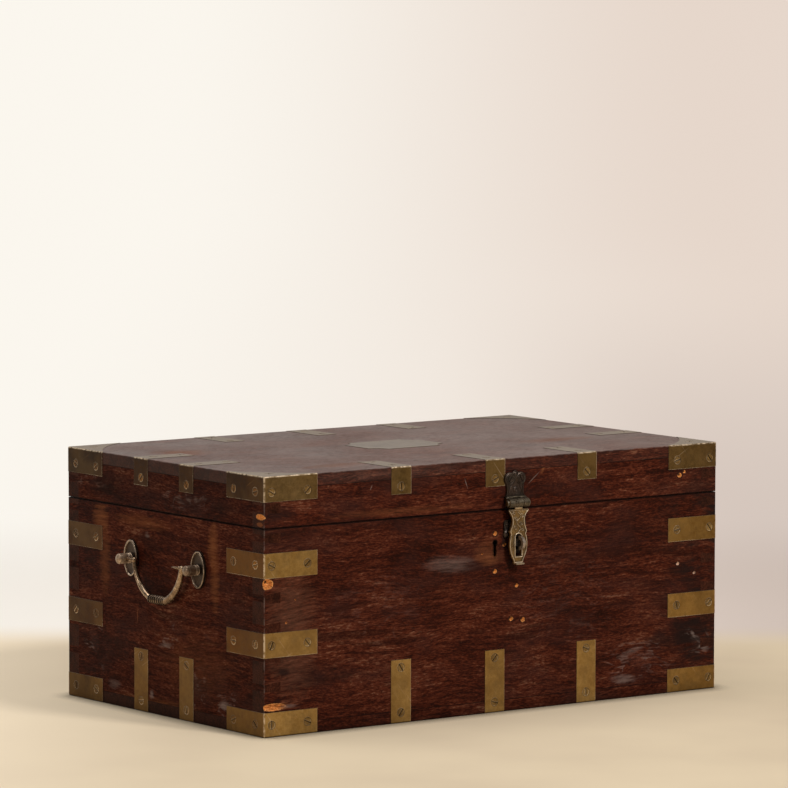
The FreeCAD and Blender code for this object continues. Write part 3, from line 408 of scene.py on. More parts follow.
# Each hole has a dark ring, bare wood, and a shadow at its upper left unless it is small. The holes low
# at the right end are pinker.
def holeMarks(holes):
    rings, raw, shadows = [], [], []
    for x, z, radius in holes:
        pink = {"tone": "rawPink"} if z < 140 and x > 200 else {}
        rings.append(onFront("ring", x, z, radius * 2.3, radius * 2.0))
        raw.append(onFront("hole", x, z, radius * 1.5, radius * 1.3, **pink))
        if radius > 1.4:
            shadows.append(onFront("ring", x - radius * 0.55, z + radius * 0.4, radius * 0.95, radius * 0.8,
                                   strength=0.85))
    return rings + raw + shadows


frontMarks = holeMarks(bodyHoles) + [
    dict(kind="chip", at=at, half=[h * 1.4 for h in half]) for at, half in chips] + [
    onFront("shadow", -289.4, 156.6, 1.3, 2.2),
    onFront("patch", -268.5, 30.5, 9, 5.0, tone="wornRed", strength=1.0),
    onFront("patch", -262, 30, 14, 2.6, 2, tone="scuff", strength=0.5),
    onFront("shadow", -2.4, 175.5, 4.9, 5.0),
    onFront("shadow", -2.9, 166.0, 3.9, 9.8, -4),
    # Painted shadow of the hasp: the two dark patches left of its arm and below its tip.
    onFront("stain", 9.5, 184, 5, 26, strength=0.8),
    onFront("stain", 17, 153, 9, 9, strength=0.8),
    onFront("patch", -14, 168, 22, 20, tone="wornRed", strength=0.35),
    onFront("patch", -258, 105, 44, 105, strength=0.30),
    onFront("cloud", -258, 105, 44, 105, strength=0.08),
    onFront("stain", -268, 63, 11, 7, 12),
    onFront("stain", -276, 36, 10, 5, -10),
    onFront("stain", -262, 92, 9, 4, strength=0.5),
    onFront("stain", 258, 66, 34, 30, strength=0.8),
    onFront("stain", 262, 118, 34, 22, strength=0.7),
    onFront("stain", 270, 198, 26, 8, strength=0.6),
    onFront("stain", 214, 60, 24, 14, strength=0.5),
    onFront("stain", -160, 60, 120, 18, strength=0.25),
    onFront("smear", 190, 40, 62, 24),
    onFront("cloud", 168, 20, 24, 7, 4),
    onFront("cloud", 176, 48, 30, 5, -14, strength=0.35),
    onFront("smear", 268, 52, 26, 16, 20),
    onFront("cloud", 278, 44, 11, 6, 20, strength=0.7),
    onFront("cloud", 262, 60, 7, 3, 50, strength=0.7),
    onFront("smear", 255, 96, 14, 10, strength=0.4),
    onFront("smear", -150, 120, 80, 50, strength=0.12),
    onFront("smear", 90, 110, 90, 60, strength=0.12),
    onFront("patch", -60, 158, 46, 12, 4, tone="dustAndSheen", strength=0.35),
    onFront("patch", -10, 160, 26, 10, tone="wornRed", strength=0.45),
]
leftMarks = [
    onLeft("patch", 116, 194, 20, 20, strength=0.9),
    onLeft("patch", -88, 186, 12, 30, 6, strength=0.9),
    onLeft("patch", -92, 148, 11, 46, strength=0.7),
    onLeft("patch", 108, 150, 14, 52, strength=0.55),
    onLeft("patch", 40, 196, 70, 10, strength=0.5),
    onLeft("stain", 20, 172, 40, 22, strength=0.75),
    onLeft("stain", 166, 130, 14, 70, strength=0.75),
    onLeft("stain", 10, 130, 60, 24, strength=0.45),
    onLeft("scratch", 48, 99, 0.9, 13, 2, tone="wornRed", strength=0.9),
    onLeft("smear", -7, 76, 26, 9, -6, strength=1.0),
    onLeft("cloud", -4, 74, 20, 4, -8, strength=0.6),
    onLeft("smear", -15, 98, 14, 8, 20, strength=0.8),
    onLeft("smear", -78, 91, 20, 8, 24, strength=0.9),
    onLeft("cloud", 30, 184, 7, 4, strength=0.5),
    onLeft("cloud", 22, 19, 6, 8, strength=0.8),
    onLeft("smear", -60, 36, 20, 34),
    onLeft("cloud", -108, 26, 12, 8, strength=0.6),
    onLeft("smear", -112, 26, 26, 22),
    onLeft("smear", 128, 64, 24, 40, -20, strength=0.8),
    onLeft("cloud", 90, 22, 16, 8, strength=0.4),
    onLeft("patch", 0, 9, 120, 12, strength=0.7),
    onLeft("patch", -60, 60, 90, 50, strength=0.25),
]
lidCornerChips = [
    dict(kind="chip", at=(-292, -171.5, 221.4), half=(5, 8.5, 3.5)),
    dict(kind="chip", at=(-292, -170.5, 213.8), half=(5, 6, 2.6), tone="wornRed", strength=0.8),
]
lidFrontMarks = holeMarks(lidHoles) + lidCornerChips + [
    onFront("scratch", -40, 240, 0.9, 9, -20),
    onFront("scratch", 48, 240, 16, 0.8, -38),
    onFront("patch", 60, 248, 2.5, 8, 30, strength=0.8),
    onFront("scratch", -160, 243, 0.8, 5, 30),
    onFront("patch", -120, 217, 120, 6, strength=0.35),
]
lidLeftMarks = lidCornerChips + [
    onLeft("smear", -40, 226, 60, 14, strength=0.4),
    onLeft("smear", 130, 226, 40, 14, strength=0.3),
    onLeft("stain", 110, 228, 60, 22, strength=0.8),
    onLeft("stain", -110, 226, 50, 18, strength=0.6),
]
topMarks = [
    dict(kind="cloud", at=(-140, -178, 256), half=(190, 6, 10), strength=0.12),
    onTop("cloud", -190, -60, 90, 30, 8, strength=0.35),
    onTop("cloud", 60, 60, 120, 26, -6, strength=0.35),
    onTop("patch", 170, -60, 70, 24, 4, strength=0.5),
    onTop("patch", -230, 60, 50, 40, 10, strength=0.6),
    onTop("patch", -170, -130, 60, 20, 4, strength=0.5),
]


def wear(node, material):
    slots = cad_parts[node].data.materials
    slots.clear()
    slots.append(material)


frontWood = rosewood("rosewoodFront", "X", (0.0, 0.0, 0.0), frontMarks, (0.35, 1.0), 1.0)
# Each board's material: grain, shift of its figure, marks, blotches at its ends, level, dust with a painted
# sheen on its upward faces, and shine.
boards = {
    "back_board": ("rosewoodBack", "X", (3.3, 1.1, 0.7), (), (0.7, 0.7)),
    "left_end_board": ("rosewoodLeftEnd", "Y", (1.9, 0.4, 2.2), leftMarks, (0.5, 0.4), 0.98, 0.0, 0.03),
    "right_end_board": ("rosewoodRightEnd", "Y", (5.1, 2.4, 1.2), (), (0.6, 0.6)),
    "bottom_board": ("rosewoodBottom", "X", (2.1, 6.0, 3.2), (), (0.4, 0.4), 0.9),
    "lid_top_board": ("rosewoodLidTop", "X", (4.6, 3.0, 8.2), topMarks, (0.5, 0.5), 1.0, 0.58, 0.14),
    "lid_front_rail": ("rosewoodLidFront", "X", (7.7, 2.0, 5.1), lidFrontMarks, (0.5, 0.5), 1.10),
    "lid_back_rail": ("rosewoodLidBack", "X", (6.2, 4.4, 4.0), (), (0.6, 0.6)),
    "lid_left_rail": ("rosewoodLidLeft", "Y", (8.8, 5.2, 1.4), lidLeftMarks, (0.9, 0.7), 0.80, 0.0, 0.03),
    "lid_right_rail": ("rosewoodLidRight", "Y", (9.4, 7.1, 6.6), (), (0.6, 0.6)),
}
for name, finish in boards.items():
    wear(name, rosewood(*finish))
print("wood finished")


strapLook = dict(
    low=colour(0.230, 0.128, 0.034), mid=colour(0.300, 0.176, 0.050), high=colour(0.370, 0.225, 0.070),
    stain=colour(0.140, 0.078, 0.024), stainShare=0.60, edge=colour(0.80, 0.64, 0.46), edgeShare=0.75,
    rough=0.44, metallic=0.80, scratch=0.35, edgeRadius=0.9, side=0.41, topDull=1.0,
    patina=True, dustAndSheenTone=colour(0.275, 0.240, 0.205))
lidStrapLook = dict(
    strapLook, low=colour(0.072, 0.042, 0.013), mid=colour(0.112, 0.066, 0.020),
    high=colour(0.160, 0.096, 0.031), rough=0.48, side=0.38)
namePlateLook = dict(
    strapLook, patina=False, low=colour(0.20, 0.155, 0.085), mid=colour(0.26, 0.205, 0.110),
    high=colour(0.32, 0.26, 0.150), stain=colour(0.13, 0.125, 0.080), stainShare=0.7,
    dustAndSheenTone=colour(0.225, 0.195, 0.182))
screwLook = dict(
    low=colour(0.150, 0.085, 0.026), mid=colour(0.260, 0.155, 0.050), high=colour(0.380, 0.250, 0.095),
    stain=colour(0.09, 0.050, 0.020), stainShare=0.6, edge=colour(0.85, 0.66, 0.42), edgeShare=0.90,
    rough=0.36, metallic=0.85, scratch=0.3, edgeRadius=1.3, side=0.70, topDull=0.9,
    dustAndSheenTone=colour(0.235, 0.200, 0.165))
armLook = dict(
    low=colour(0.155, 0.091, 0.036), mid=colour(0.275, 0.172, 0.068), high=colour(0.420, 0.285, 0.125),
    stain=colour(0.075, 0.050, 0.028), stainShare=0.7, edge=colour(0.85, 0.70, 0.52), edgeShare=0.8,
    rough=0.38, metallic=0.9, scratch=0.4, edgeRadius=0.5, side=0.85, topDull=0.0)
darkLook = dict(
    low=colour(0.034, 0.024, 0.020), mid=colour(0.070, 0.047, 0.039), high=colour(0.150, 0.102, 0.077),
    stain=colour(0.020, 0.024, 0.019), stainShare=0.7, edge=colour(0.50, 0.40, 0.32), edgeShare=0.75,
    rough=0.36, metallic=0.85, scratch=0.3, edgeRadius=0.45, side=0.9, topDull=0.0)
postLook = dict(
    low=colour(0.240, 0.155, 0.100), mid=colour(0.420, 0.295, 0.200), high=colour(0.680, 0.520, 0.380),
    stain=colour(0.080, 0.052, 0.034), stainShare=0.5, edge=colour(0.85, 0.70, 0.56), edgeShare=0.9,
    grimeAndShadeReach=0.3, dirtAndShade=0.0, rough=0.32, metallic=0.65, scratch=0.3, edgeRadius=0.8, side=1.0, topDull=0.0)
bailLook = dict(
    low=colour(0.090, 0.054, 0.030), mid=colour(0.260, 0.165, 0.096), high=colour(0.520, 0.370, 0.240),
    stain=colour(0.024, 0.015, 0.010), stainShare=0.6, edge=colour(0.80, 0.62, 0.48), edgeShare=0.35,
    grimeAndShadeReach=0.6, dirtAndShade=0.1, rough=0.24, metallic=0.95, scratch=0.4, edgeRadius=0.6, side=1.0, topDull=0.0)
hingeLook = dict(
    postLook, low=colour(0.11, 0.07, 0.03), mid=colour(0.19, 0.12, 0.05), high=colour(0.28, 0.18, 0.08))


# Where the brass has aged in its own way, and where shade and light are painted into it. Places and heights
# are in millimetres, each as start and full.
brassAge = {
    "sideTarnishAndShade": (1.0, 0.63, 0.20),      # brown and darker on the left end, tarnish with painted shade, times the look's own side
    "sideShares": (0.56, 1.0),          # low down and higher up
    "sideHeights": (62, 84),
    "farPlaces": (95, 140),
    "farTint": colour(0.46, 0.43, 0.36),
    "paintedLightHeights": (150, 130),
    "paintedLightTint": colour(1.27, 1.27, 1.30),
    "lidHeights": (205, 215),
    "nearCapPlaces": (-225, -250),
    "nearCapTint": colour(1.28, 1.36, 1.60),
    "tarnishPlaces": (205, 245),
    "tarnishTint": colour(0.68, 0.62, 0.52),
    "tarnishOnLid": 0.35,
    "dullShare": 0.42,
    "grimeAndShade": colour(0.012, 0.008, 0.006),
    "dirtAndShade": colour(0.020, 0.013, 0.008),
    "wearReach": 1.4 * mm,
    "bump": 0.20 * mm,
}


def overMm(tree, value, ends, *shares):
    return spread(tree, value, ends[0] * mm, ends[1] * mm, *shares)


# Fine scratches at two slants, which lie in the plane of whichever outer face they cross.
def scratchLines(tree, point):
    across, deep, up = partsOf(tree, point)
    level = plus(tree, across, deep)
    lean = maths(tree, "SUBTRACT", across, deep)
    lines = 0.0
    for slant, offset in ((1.3, 0.0), (-0.55, 4.7)):
        climb = plus(tree, up, times(tree, lean, slant))
        flat = put(tree, "CombineXYZ", {0: times(tree, level, 0.035), 1: climb, 2: offset}).outputs[0]
        lines = maths(tree, "MAXIMUM", lines, spread(tree, noise(tree, flat, 420, 1, 0.4), 0.72, 0.76))
    return lines


# Brass with a look. Where it is raised, as (low, high, top) in front of the middle, it is rubbed bright.
def brass(name, look, shift, raised=None):
    age = brassAge
    material, tree, shader = startMaterial(name)
    place = put(tree, "TexCoord").outputs["Object"]
    acrossFront, depth, height = partsOf(tree, place)
    normal = objectNormal(tree)
    leftward = spread(tree, times(tree, normal[0], -1.0), 0.6, 0.95)
    forward = spread(tree, times(tree, normal[1], -1.0), 0.6, 0.95)
    point = stretched(tree, place, (1, 1, 1), shift)
    clouds = noise(tree, point, 30, 4, 0.60, 0.3)
    mottle = noise(tree, point, 260, 4, 0.65)
    grains = noise(tree, point, 1400, 2, 0.6)
    stains = noise(tree, stretched(tree, point, (1, 1, 1), (3.1, 1.7, 0.4)), 75, 5, 0.7)

    fine = plus(tree, times(tree, mottle, 0.35), times(tree, grains, 0.25))
    mixed = plus(tree, times(tree, clouds, 0.5), fine)
    stops = [(0.05, look["low"]), (0.5, look["mid"]), (0.95, look["high"])]
    tone = ramp(tree, spread(tree, mixed, 0.44, 0.66), stops)
    stained = spread(tree, stains, 0.50, 0.72, 0.0, look["stainShare"])
    tone = mixColour(tree, stained, tone, look["stain"])
    pits = spread(tree, grains, 0.64, 0.72, 0.0, 0.35)
    tone = mixColour(tree, pits, tone, look["stain"])
    lines = times(tree, scratchLines(tree, point), spread(tree, clouds, 0.45, 0.6))
    lines = times(tree, lines, look["scratch"])
    tone = mixColour(tree, lines, tone, look["edge"])

    # Faces that look left are browner and darker, tarnish with painted shade for the dimmer light on that
    # side, and the far ones darker.
    if look["side"] != 1.0:
        brown = colour(*[look["side"] * level for level in age["sideTarnishAndShade"]])
        share = times(tree, leftward, overMm(tree, height, age["sideHeights"], *age["sideShares"]))
        tone = tint(tree, share, tone, brown)
        far = times(tree, leftward, overMm(tree, depth, age["farPlaces"]))
        tone = tint(tree, far, tone, age["farTint"])
    # The straps low on the front are painted lighter, as painted light where the lamp's light falls off,
    # and those at its right end are duller.
    if look.get("patina"):
        paintedLight = times(tree, forward, overMm(tree, height, age["paintedLightHeights"]))
        tone = tint(tree, paintedLight, tone, age["paintedLightTint"])
        nearCap = times(tree, overMm(tree, height, age["lidHeights"]),
                        overMm(tree, acrossFront, age["nearCapPlaces"]))
        tone = tint(tree, times(tree, forward, nearCap), tone, age["nearCapTint"])
        tarnish = times(tree, forward, overMm(tree, acrossFront, age["tarnishPlaces"]))
        tarnish = times(tree, tarnish, overMm(tree, height, age["lidHeights"], 1.0, age["tarnishOnLid"]))
        tone = tint(tree, tarnish, tone, age["tarnishTint"])
    dull = times(tree, spread(tree, noise(tree, point, 17, 3, 0.6), 0.42, 0.60), age["dullShare"])
    tone = mixColour(tree, dull, tone, look["stain"])

    # Grime and painted shade in the corners, and edges rubbed bright, with a painted highlight on the edges
    # that lean down, forward and right and painted shade on those that lean the other way.
    creviceShadeAndGrime = occlusionShade(tree, look.get("grimeAndShadeReach", 1.4))
    tone = mixColour(tree, times(tree, creviceShadeAndGrime, 0.75), tone, age["grimeAndShade"])
    bright, dirtyAndShaded = rubbedEdgeAndPaintedLight(tree, look["edgeRadius"])
    tone = mixColour(tree, times(tree, dirtyAndShaded, look.get("dirtAndShade", 0.65)), tone, age["dirtAndShade"])
    rubbedAndLit = times(tree, bright, spread(tree, clouds, 0.42, 0.58, 0.25, 1.0))
    rubbedAndLit = times(tree, rubbedAndLit, maths(tree, "SUBTRACT", 1.0, times(tree, creviceShadeAndGrime, 0.7)))
    patchy = spread(tree, mottle, 0.42, 0.56, 0.12, 1.0)
    worn = times(tree, nearOuterEdge(tree, place, age["wearReach"]), patchy)
    rubbedAndLit = maths(tree, "MAXIMUM", times(tree, rubbedAndLit, look["edgeShare"]), times(tree, worn, 0.75))
    if raised:
        low, high, top = raised
        out = times(tree, depth, -1.0)
        proud = times(tree, overMm(tree, out, (low, high)), overMm(tree, out, (top, top + 0.4), 1.0, 0.0))
        proud = times(tree, proud, spread(tree, mottle, 0.34, 0.56, 0.45, 1.0))
        rubbedAndLit = maths(tree, "MAXIMUM", rubbedAndLit, times(tree, proud, 0.75))
    tone = mixColour(tree, rubbedAndLit, tone, look["edge"])

    rough = spread(tree, mottle, 0.3, 0.7, look["rough"] - 0.07, look["rough"] + 0.10)
    rough = maths(tree, "SUBTRACT", rough, times(tree, rubbedAndLit, 0.10))
    rough = plus(tree, rough, times(tree, stained, 0.2))
    metallic = spread(tree, stains, 0.45, 0.72, look["metallic"], look["metallic"] - 0.3)
    # Faces that look up turn rougher, less metallic and pale grey: dust, with a painted sheen of the pale
    # room.
    if look["topDull"]:
        above = times(tree, spread(tree, normal[2], 0.75, 0.97), look["topDull"])
        tone = mixColour(tree, times(tree, above, 0.72), tone, look["dustAndSheenTone"])
        rough = plus(tree, rough, times(tree, above, 0.25))
        metallic = times(tree, metallic, maths(tree, "SUBTRACT", 1.0, times(tree, above, 0.85)))
    relief = maths(tree, "SUBTRACT", times(tree, mottle, 0.6), times(tree, lines, 0.5))
    relief = maths(tree, "SUBTRACT", relief, pits)
    bump = put(tree, "Bump", {"Height": relief, "Strength": 0.30, "Distance": age["bump"]})
    tree.links.new(tone, shader.inputs["Base Color"])
    tree.links.new(rough, shader.inputs["Roughness"])
    tree.links.new(metallic, shader.inputs["Metallic"])
    tree.links.new(bump.outputs[0], shader.inputs["Normal"])
    shader.inputs["Specular IOR Level"].default_value = 0.2
    return material


def iron(name, shift):
    material, tree, shader = startMaterial(name)
    point = stretched(tree, put(tree, "TexCoord").outputs["Object"], (1, 1, 1), shift)
    rust = noise(tree, point, 160, 5, 0.65)
    tone = ramp(tree, rust, [(0.38, colour(0.035, 0.032, 0.030)), (0.60, colour(0.075, 0.062, 0.052)),
                             (0.74, colour(0.130, 0.065, 0.032))])
    bump = put(tree, "Bump", {"Height": rust, "Strength": 0.4, "Distance": 0.3 * mm})
    tree.links.new(tone, shader.inputs["Base Color"])
    tree.links.new(spread(tree, rust, 0.3, 0.7, 0.38, 0.62), shader.inputs["Roughness"])
    tree.links.new(bump.outputs[0], shader.inputs["Normal"])
    shader.inputs["Metallic"].default_value = 0.8
    return material


barrelLook = dict(
    darkLook, low=colour(0.050, 0.038, 0.026), mid=colour(0.105, 0.082, 0.055),
    high=colour(0.200, 0.160, 0.110))
lipLook = dict(
    armLook, low=colour(0.30, 0.23, 0.15), mid=colour(0.55, 0.45, 0.33),
    high=colour(0.80, 0.70, 0.56))
gripLook = dict(
    bailLook, low=colour(0.060, 0.036, 0.020), mid=colour(0.14, 0.090, 0.054),
    high=colour(0.32, 0.225, 0.145),
    edgeShare=0.7, rough=0.34, scratch=0.0, stainShare=0.2, grimeAndShadeReach=1.0)
# Near-black brass painted into the grooves between the grip's reeds as shade.
shadedGrooveLook = dict(
    bailLook, low=colour(0.008, 0.005, 0.003), mid=colour(0.020, 0.012, 0.008),
    high=colour(0.045, 0.030, 0.020),
    edgeShare=0.0, scratch=0.0)
# The rose's dish is painted dark as shade, and its rim painted bright as a highlight.
shadedRoseLook = dict(
    postLook, low=colour(0.014, 0.008, 0.005), mid=colour(0.032, 0.018, 0.012),
    high=colour(0.080, 0.052, 0.036),
    grimeAndShadeReach=2.0, metallic=0.9)
litRimLook = dict(
    postLook, low=colour(0.140, 0.095, 0.065), mid=colour(0.320, 0.235, 0.170),
    high=colour(0.640, 0.510, 0.390),
    metallic=0.9, rough=0.24)

strapBrass = brass("strapBrass", strapLook, (0, 0, 0))
lidStrapBrass = brass("lidStrapBrass", lidStrapLook, (3, 1, 2))
plateBrass = brass("namePlateBrass", namePlateLook, (2, 5, 1))
screwBrass = brass("screwBrass", screwLook, (4, 2, 6))
armBrass = brass("haspArmBrass", armLook, (1, 7, 3), raised=(185.65, 186.0, 186.4))
darkBrass = brass("haspPlateBrass", darkLook, (6, 1, 8))
barrelBrass = brass("haspBarrelBrass", barrelLook, (3, 3, 7))
lipBrass = brass("haspLipBrass", lipLook, (8, 3, 1))
# The staple and its plate wear the dark brass: tarnish, with painted shade from the hasp arm over them.
stapleBrass = brass("stapleBrass", darkLook, (7, 2, 4), raised=(186.0, 190.0, 197.0))
postBrass = brass("handlePostBrass", postLook, (2, 2, 9))
bailBrass = brass("handleBailBrass", bailLook, (9, 4, 2))
gripBrass = brass("handleGripBrass", gripLook, (1, 1, 6))
shadedGrooveBrass = brass("handleGroovePaintedShade", shadedGrooveLook, (5, 1, 4))
shadedRoseBrass = brass("handleRosePaintedShade", shadedRoseLook, (6, 2, 2))
litRimBrass = brass("handleRimPaintedHighlight", litRimLook, (4, 4, 1))
hingeBrass = brass("hingeBrass", hingeLook, (5, 3, 2))
lockIron = iron("lockIron", (1, 2, 3))

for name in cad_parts:
    if name.endswith(("_straps", "_cap")) and name.startswith("lid_"):
        wear(name, lidStrapBrass)
    elif name.endswith(("_strap", "_straps")):
        wear(name, strapBrass)
    elif name in ("body_fitting_screws", "lid_fitting_screws", "handle_screws"):
        wear(name, darkBrass)
    elif name.endswith("_screws") or name == "name_plate_pins":
        wear(name, screwBrass)
    elif name == "lid_name_plate":
        wear(name, plateBrass)
    elif "hinge" in name:
        wear(name, hingeBrass)
    elif name.startswith("lock"):
        wear(name, lockIron)
    elif name == "hasp_arm":
        wear(name, armBrass)
    elif name == "hasp_staple":
        wear(name, stapleBrass)
    elif name.startswith("hasp"):
        wear(name, darkBrass)
    elif name.endswith("_bail"):
        wear(name, bailBrass)
    elif name.endswith("_post"):
        wear(name, postBrass)
print("metal finished")


# Pieces are drawn in millimetres and scaled once, in makePiece.

def meshOf(form, name):
    mesh = bpy.data.meshes.new(name)
    form.to_mesh(mesh)
    form.free()
    return mesh


# The mesh of a curve or a changed object, as it stands after its modifiers.
def evaluated(thing):
    bpy.context.view_layer.update()
    graph = bpy.context.evaluated_depsgraph_get()
    return bpy.data.meshes.new_from_object(thing.evaluated_get(graph))


def bake(thing):
    bpy.context.scene.collection.objects.link(thing)
    mesh = evaluated(thing)
    bpy.data.objects.remove(thing)
    return mesh


# A flat plate with rounded edges, from closed outlines of (across, up), standing out of the front.
def flatPlate(outlines, low, high, bevel, centre):
    curve = bpy.data.curves.new("plate", "CURVE")
    curve.dimensions = "2D"
    curve.fill_mode = "BOTH"
    curve.extrude = (high - low) / 2 - bevel
    curve.bevel_depth = bevel
    curve.bevel_resolution = 2
    curve.offset = -bevel
    for outline in outlines:
        spline = curve.splines.new("POLY")
        spline.points.add(len(outline) - 1)
        for place, (across, rise) in zip(spline.points, outline):
            place.co = (across, rise, 0, 1)
        spline.use_cyclic_u = True
    mesh = bake(bpy.data.objects.new("plate", curve))
    x, y = centre
    mesh.transform(Matrix.Translation((x, y - (low + high) / 2, 0)) @ Matrix.Rotation(math.pi / 2, 4, "X"))
    return mesh


# A round wire through points, with a radius at each.
def wire(points, radius, cyclic=False, sides=4):
    curve = bpy.data.curves.new("wire", "CURVE")
    curve.dimensions = "3D"
    curve.bevel_depth = 1.0
    curve.bevel_resolution = sides
    curve.use_fill_caps = True
    spline = curve.splines.new("POLY")
    spline.points.add(len(points) - 1)
    for index, (place, at) in enumerate(zip(spline.points, points)):
        place.co = (*at, 1)
        place.radius = radius[index] if isinstance(radius, (list, tuple)) else radius
    spline.use_cyclic_u = cyclic
    return bake(bpy.data.objects.new("wire", curve))


# A turned form: (radius, distance) along an axis from a start point.
def turnedForm(profile, start, direction, sides=40):
    form = bmesh.new()
    axis = Vector(direction).normalized()
    turn = axis.to_track_quat("Z", "Y").to_matrix().to_4x4()
    angles = [2 * math.pi * i / sides for i in range(sides)]
    rings = []
    for radius, distance in profile:
        if radius < 1e-6:
            rings.append([form.verts.new((0, 0, distance))])
        else:
            rings.append([form.verts.new((radius * math.cos(angle), radius * math.sin(angle), distance))
                          for angle in angles])
    for lower, upper in zip(rings, rings[1:]):
        for i in range(sides):
            j = (i + 1) % sides
            corners = [lower[i % len(lower)], lower[j % len(lower)],
                       upper[j % len(upper)], upper[i % len(upper)]]
            kept = [v for k, v in enumerate(corners) if v not in corners[:k]]
            if len(kept) > 2:
                form.faces.new(kept)
    for ring, flip in ((rings[0], True), (rings[-1], False)):
        if len(ring) > 1:
            form.faces.new(list(reversed(ring)) if flip else ring)
    mesh = meshOf(form, "turned")
    mesh.transform(Matrix.Translation(start) @ turn)
    return mesh


# A bar with a bevelled outline in the upright plane, running across the front.
def crossBar(profile, x0, x1, bevel):
    form = bmesh.new()
    low = [form.verts.new((x0, y, z)) for y, z in profile]
    high = [form.verts.new((x1, y, z)) for y, z in profile]
    count = len(profile)
    form.faces.new(low)
    form.faces.new(list(reversed(high)))
    for i in range(count):
        j = (i + 1) % count
        form.faces.new((low[i], high[i], high[j], low[j]))
    bmesh.ops.recalc_face_normals(form, faces=form.faces)
    bmesh.ops.bevel(form, geom=form.edges[:], offset=bevel, segments=2, affect="EDGES", profile=0.5)
    return meshOf(form, "bar")


# Joins meshes into one piece that rides on a body and takes the place of CAD nodes. Bands give the faces
# between two places on an axis another material, as (axis, low, high, material).
def makePiece(name, meshes, material, body, replaced, bands=()):
    form = bmesh.new()
    for mesh in meshes:
        form.from_mesh(mesh)
    bmesh.ops.remove_doubles(form, verts=form.verts, dist=0.0005)
    joined = meshOf(form, name)
    joined.transform(Matrix.Scale(mm, 4))
    joined.polygons.foreach_set("use_smooth", [True] * len(joined.polygons))
    joined.set_sharp_from_angle(angle=math.radians(40))
    joined.materials.clear()
    joined.materials.append(material)
    for index, (axis, low, high, other) in enumerate(bands):
        joined.materials.append(other)
        for face in joined.polygons:
            if low * mm < face.center[axis] < high * mm:
                face.material_index = index + 1
    piece = bpy.data.objects.new(name, joined)
    bpy.context.scene.collection.objects.link(piece)
    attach(piece, body)
    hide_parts(*replaced)
    return piece


# Points on the arc through three points, without the first of them.
def arcThrough(a, b, c, steps):
    (ax, ay), (bx, by), (cx, cy) = a, b, c
    d = 2 * (ax * (by - cy) + bx * (cy - ay) + cx * (ay - by))
    sizes = [ax**2 + ay**2, bx**2 + by**2, cx**2 + cy**2]
    ux = (sizes[0] * (by - cy) + sizes[1] * (cy - ay) + sizes[2] * (ay - by)) / d
    uy = (sizes[0] * (cx - bx) + sizes[1] * (ax - cx) + sizes[2] * (bx - ax)) / d
    radius = math.hypot(ax - ux, ay - uy)
    angles = [math.atan2(y - uy, x - ux) for x, y in (a, b, c)]
    for k in (1, 2):
        while angles[k] - angles[k - 1] > math.pi:
            angles[k] -= 2 * math.pi
        while angles[k] - angles[k - 1] < -math.pi:
            angles[k] += 2 * math.pi
    turns = [angles[0] + (angles[2] - angles[0]) * i / steps for i in range(1, steps + 1)]
    return [(ux + radius * math.cos(turn), uy + radius * math.sin(turn)) for turn in turns]


# Moves a closed outline inwards. The outline runs clockwise or anticlockwise.
def insetOutline(outline, amount):
    following = outline[1:] + outline[:1]
    area = sum(x0 * y1 - x1 * y0 for (x0, y0), (x1, y1) in zip(outline, following))
    sign = 1 if area > 0 else -1
    moved = []
    for i, (x, y) in enumerate(outline):
        px, py = outline[i - 1]
        nx, ny = outline[(i + 1) % len(outline)]
        tx, ty = nx - px, ny - py
        size = math.hypot(tx, ty)
        moved.append((x - sign * ty / size * amount, y + sign * tx / size * amount))
    return moved


# Hasp arm: pierced, with a raised border, a raised arch round the slot and scrolls above it.

hasp = {
    "x": 22.3,
    "front": -178.0,
    "level": 216.0,
    "out": 6.0,
    "knuckle": 4.85,
    "barrelHalf": 13.0,
    "middleHalf": 4.8,
    # A knuckle's first end, as (step from its radius, distance along).
    "knuckleEnd": [(-0.4, 0), (0, 0.4), (0, 1.3), (-0.35, 1.6), (-0.35, 2.0), (0, 2.3)],
    "dome": 2.2,
}
arm = {
    "half": 12.6,
    "top": 209.6,
    "long": 57.0,
    "back": 5.0,
    "face": 7.4,
    "bevel": 0.35,
    "border": 0.62,        # radius of the raised border
    "borderInset": 1.0,
    "slotHalf": 3.8,
    "slotLow": 161.1,
    "slotHigh": 184.0,
    "lipOut": 11.0,
    "scroll": 0.42,        # radius of the scrolls' wires
    "vine": {"sway": 2.6, "turn": 0.42, "start": 186.5, "step": 0.86, "points": 25},
    "sideVine": {"inset": 6.6, "sway": 1.5, "turn": 1 / 3, "start": 160, "step": 1.55, "points": 12},
    # Scrolls, as (across, up, size, turns, hand).
    "curls": [(3.9, 190.4, 2.6, 1.2, -1), (3.4, 194.9, 2.2, -1.3, 1), (3.6, 199.6, 2.3, 1.3, -1),
              (4.4, 203.3, 2.7, -1.2, 1), (6.2, 205.4, 2.1, 1.2, -1), (5.0, 188.8, 1.8, -1.1, 1)],
}


# The arm's right side from the top down, as shares of its half width and of its length, then the left.
def armOutline():
    half, top, long = arm["half"], arm["top"], arm["long"]

    def at(share, drop):
        return (half * share, top - long * drop)

    side = [at(1.0, 0.0), at(0.97, 0.05)]
    side += arcThrough(at(0.97, 0.05), at(0.66, 0.17), at(0.70, 0.29), 12)
    side += [at(0.80, 0.35), at(0.89, 0.40), at(0.84, 0.425), at(0.78, 0.45)]
    side += arcThrough(at(0.78, 0.45), at(0.93, 0.65), at(0.57, 0.90), 16)
    side += [at(0.48, 0.955), at(0.42, 1.0)]
    return side + [(-x, z) for x, z in reversed(side)]


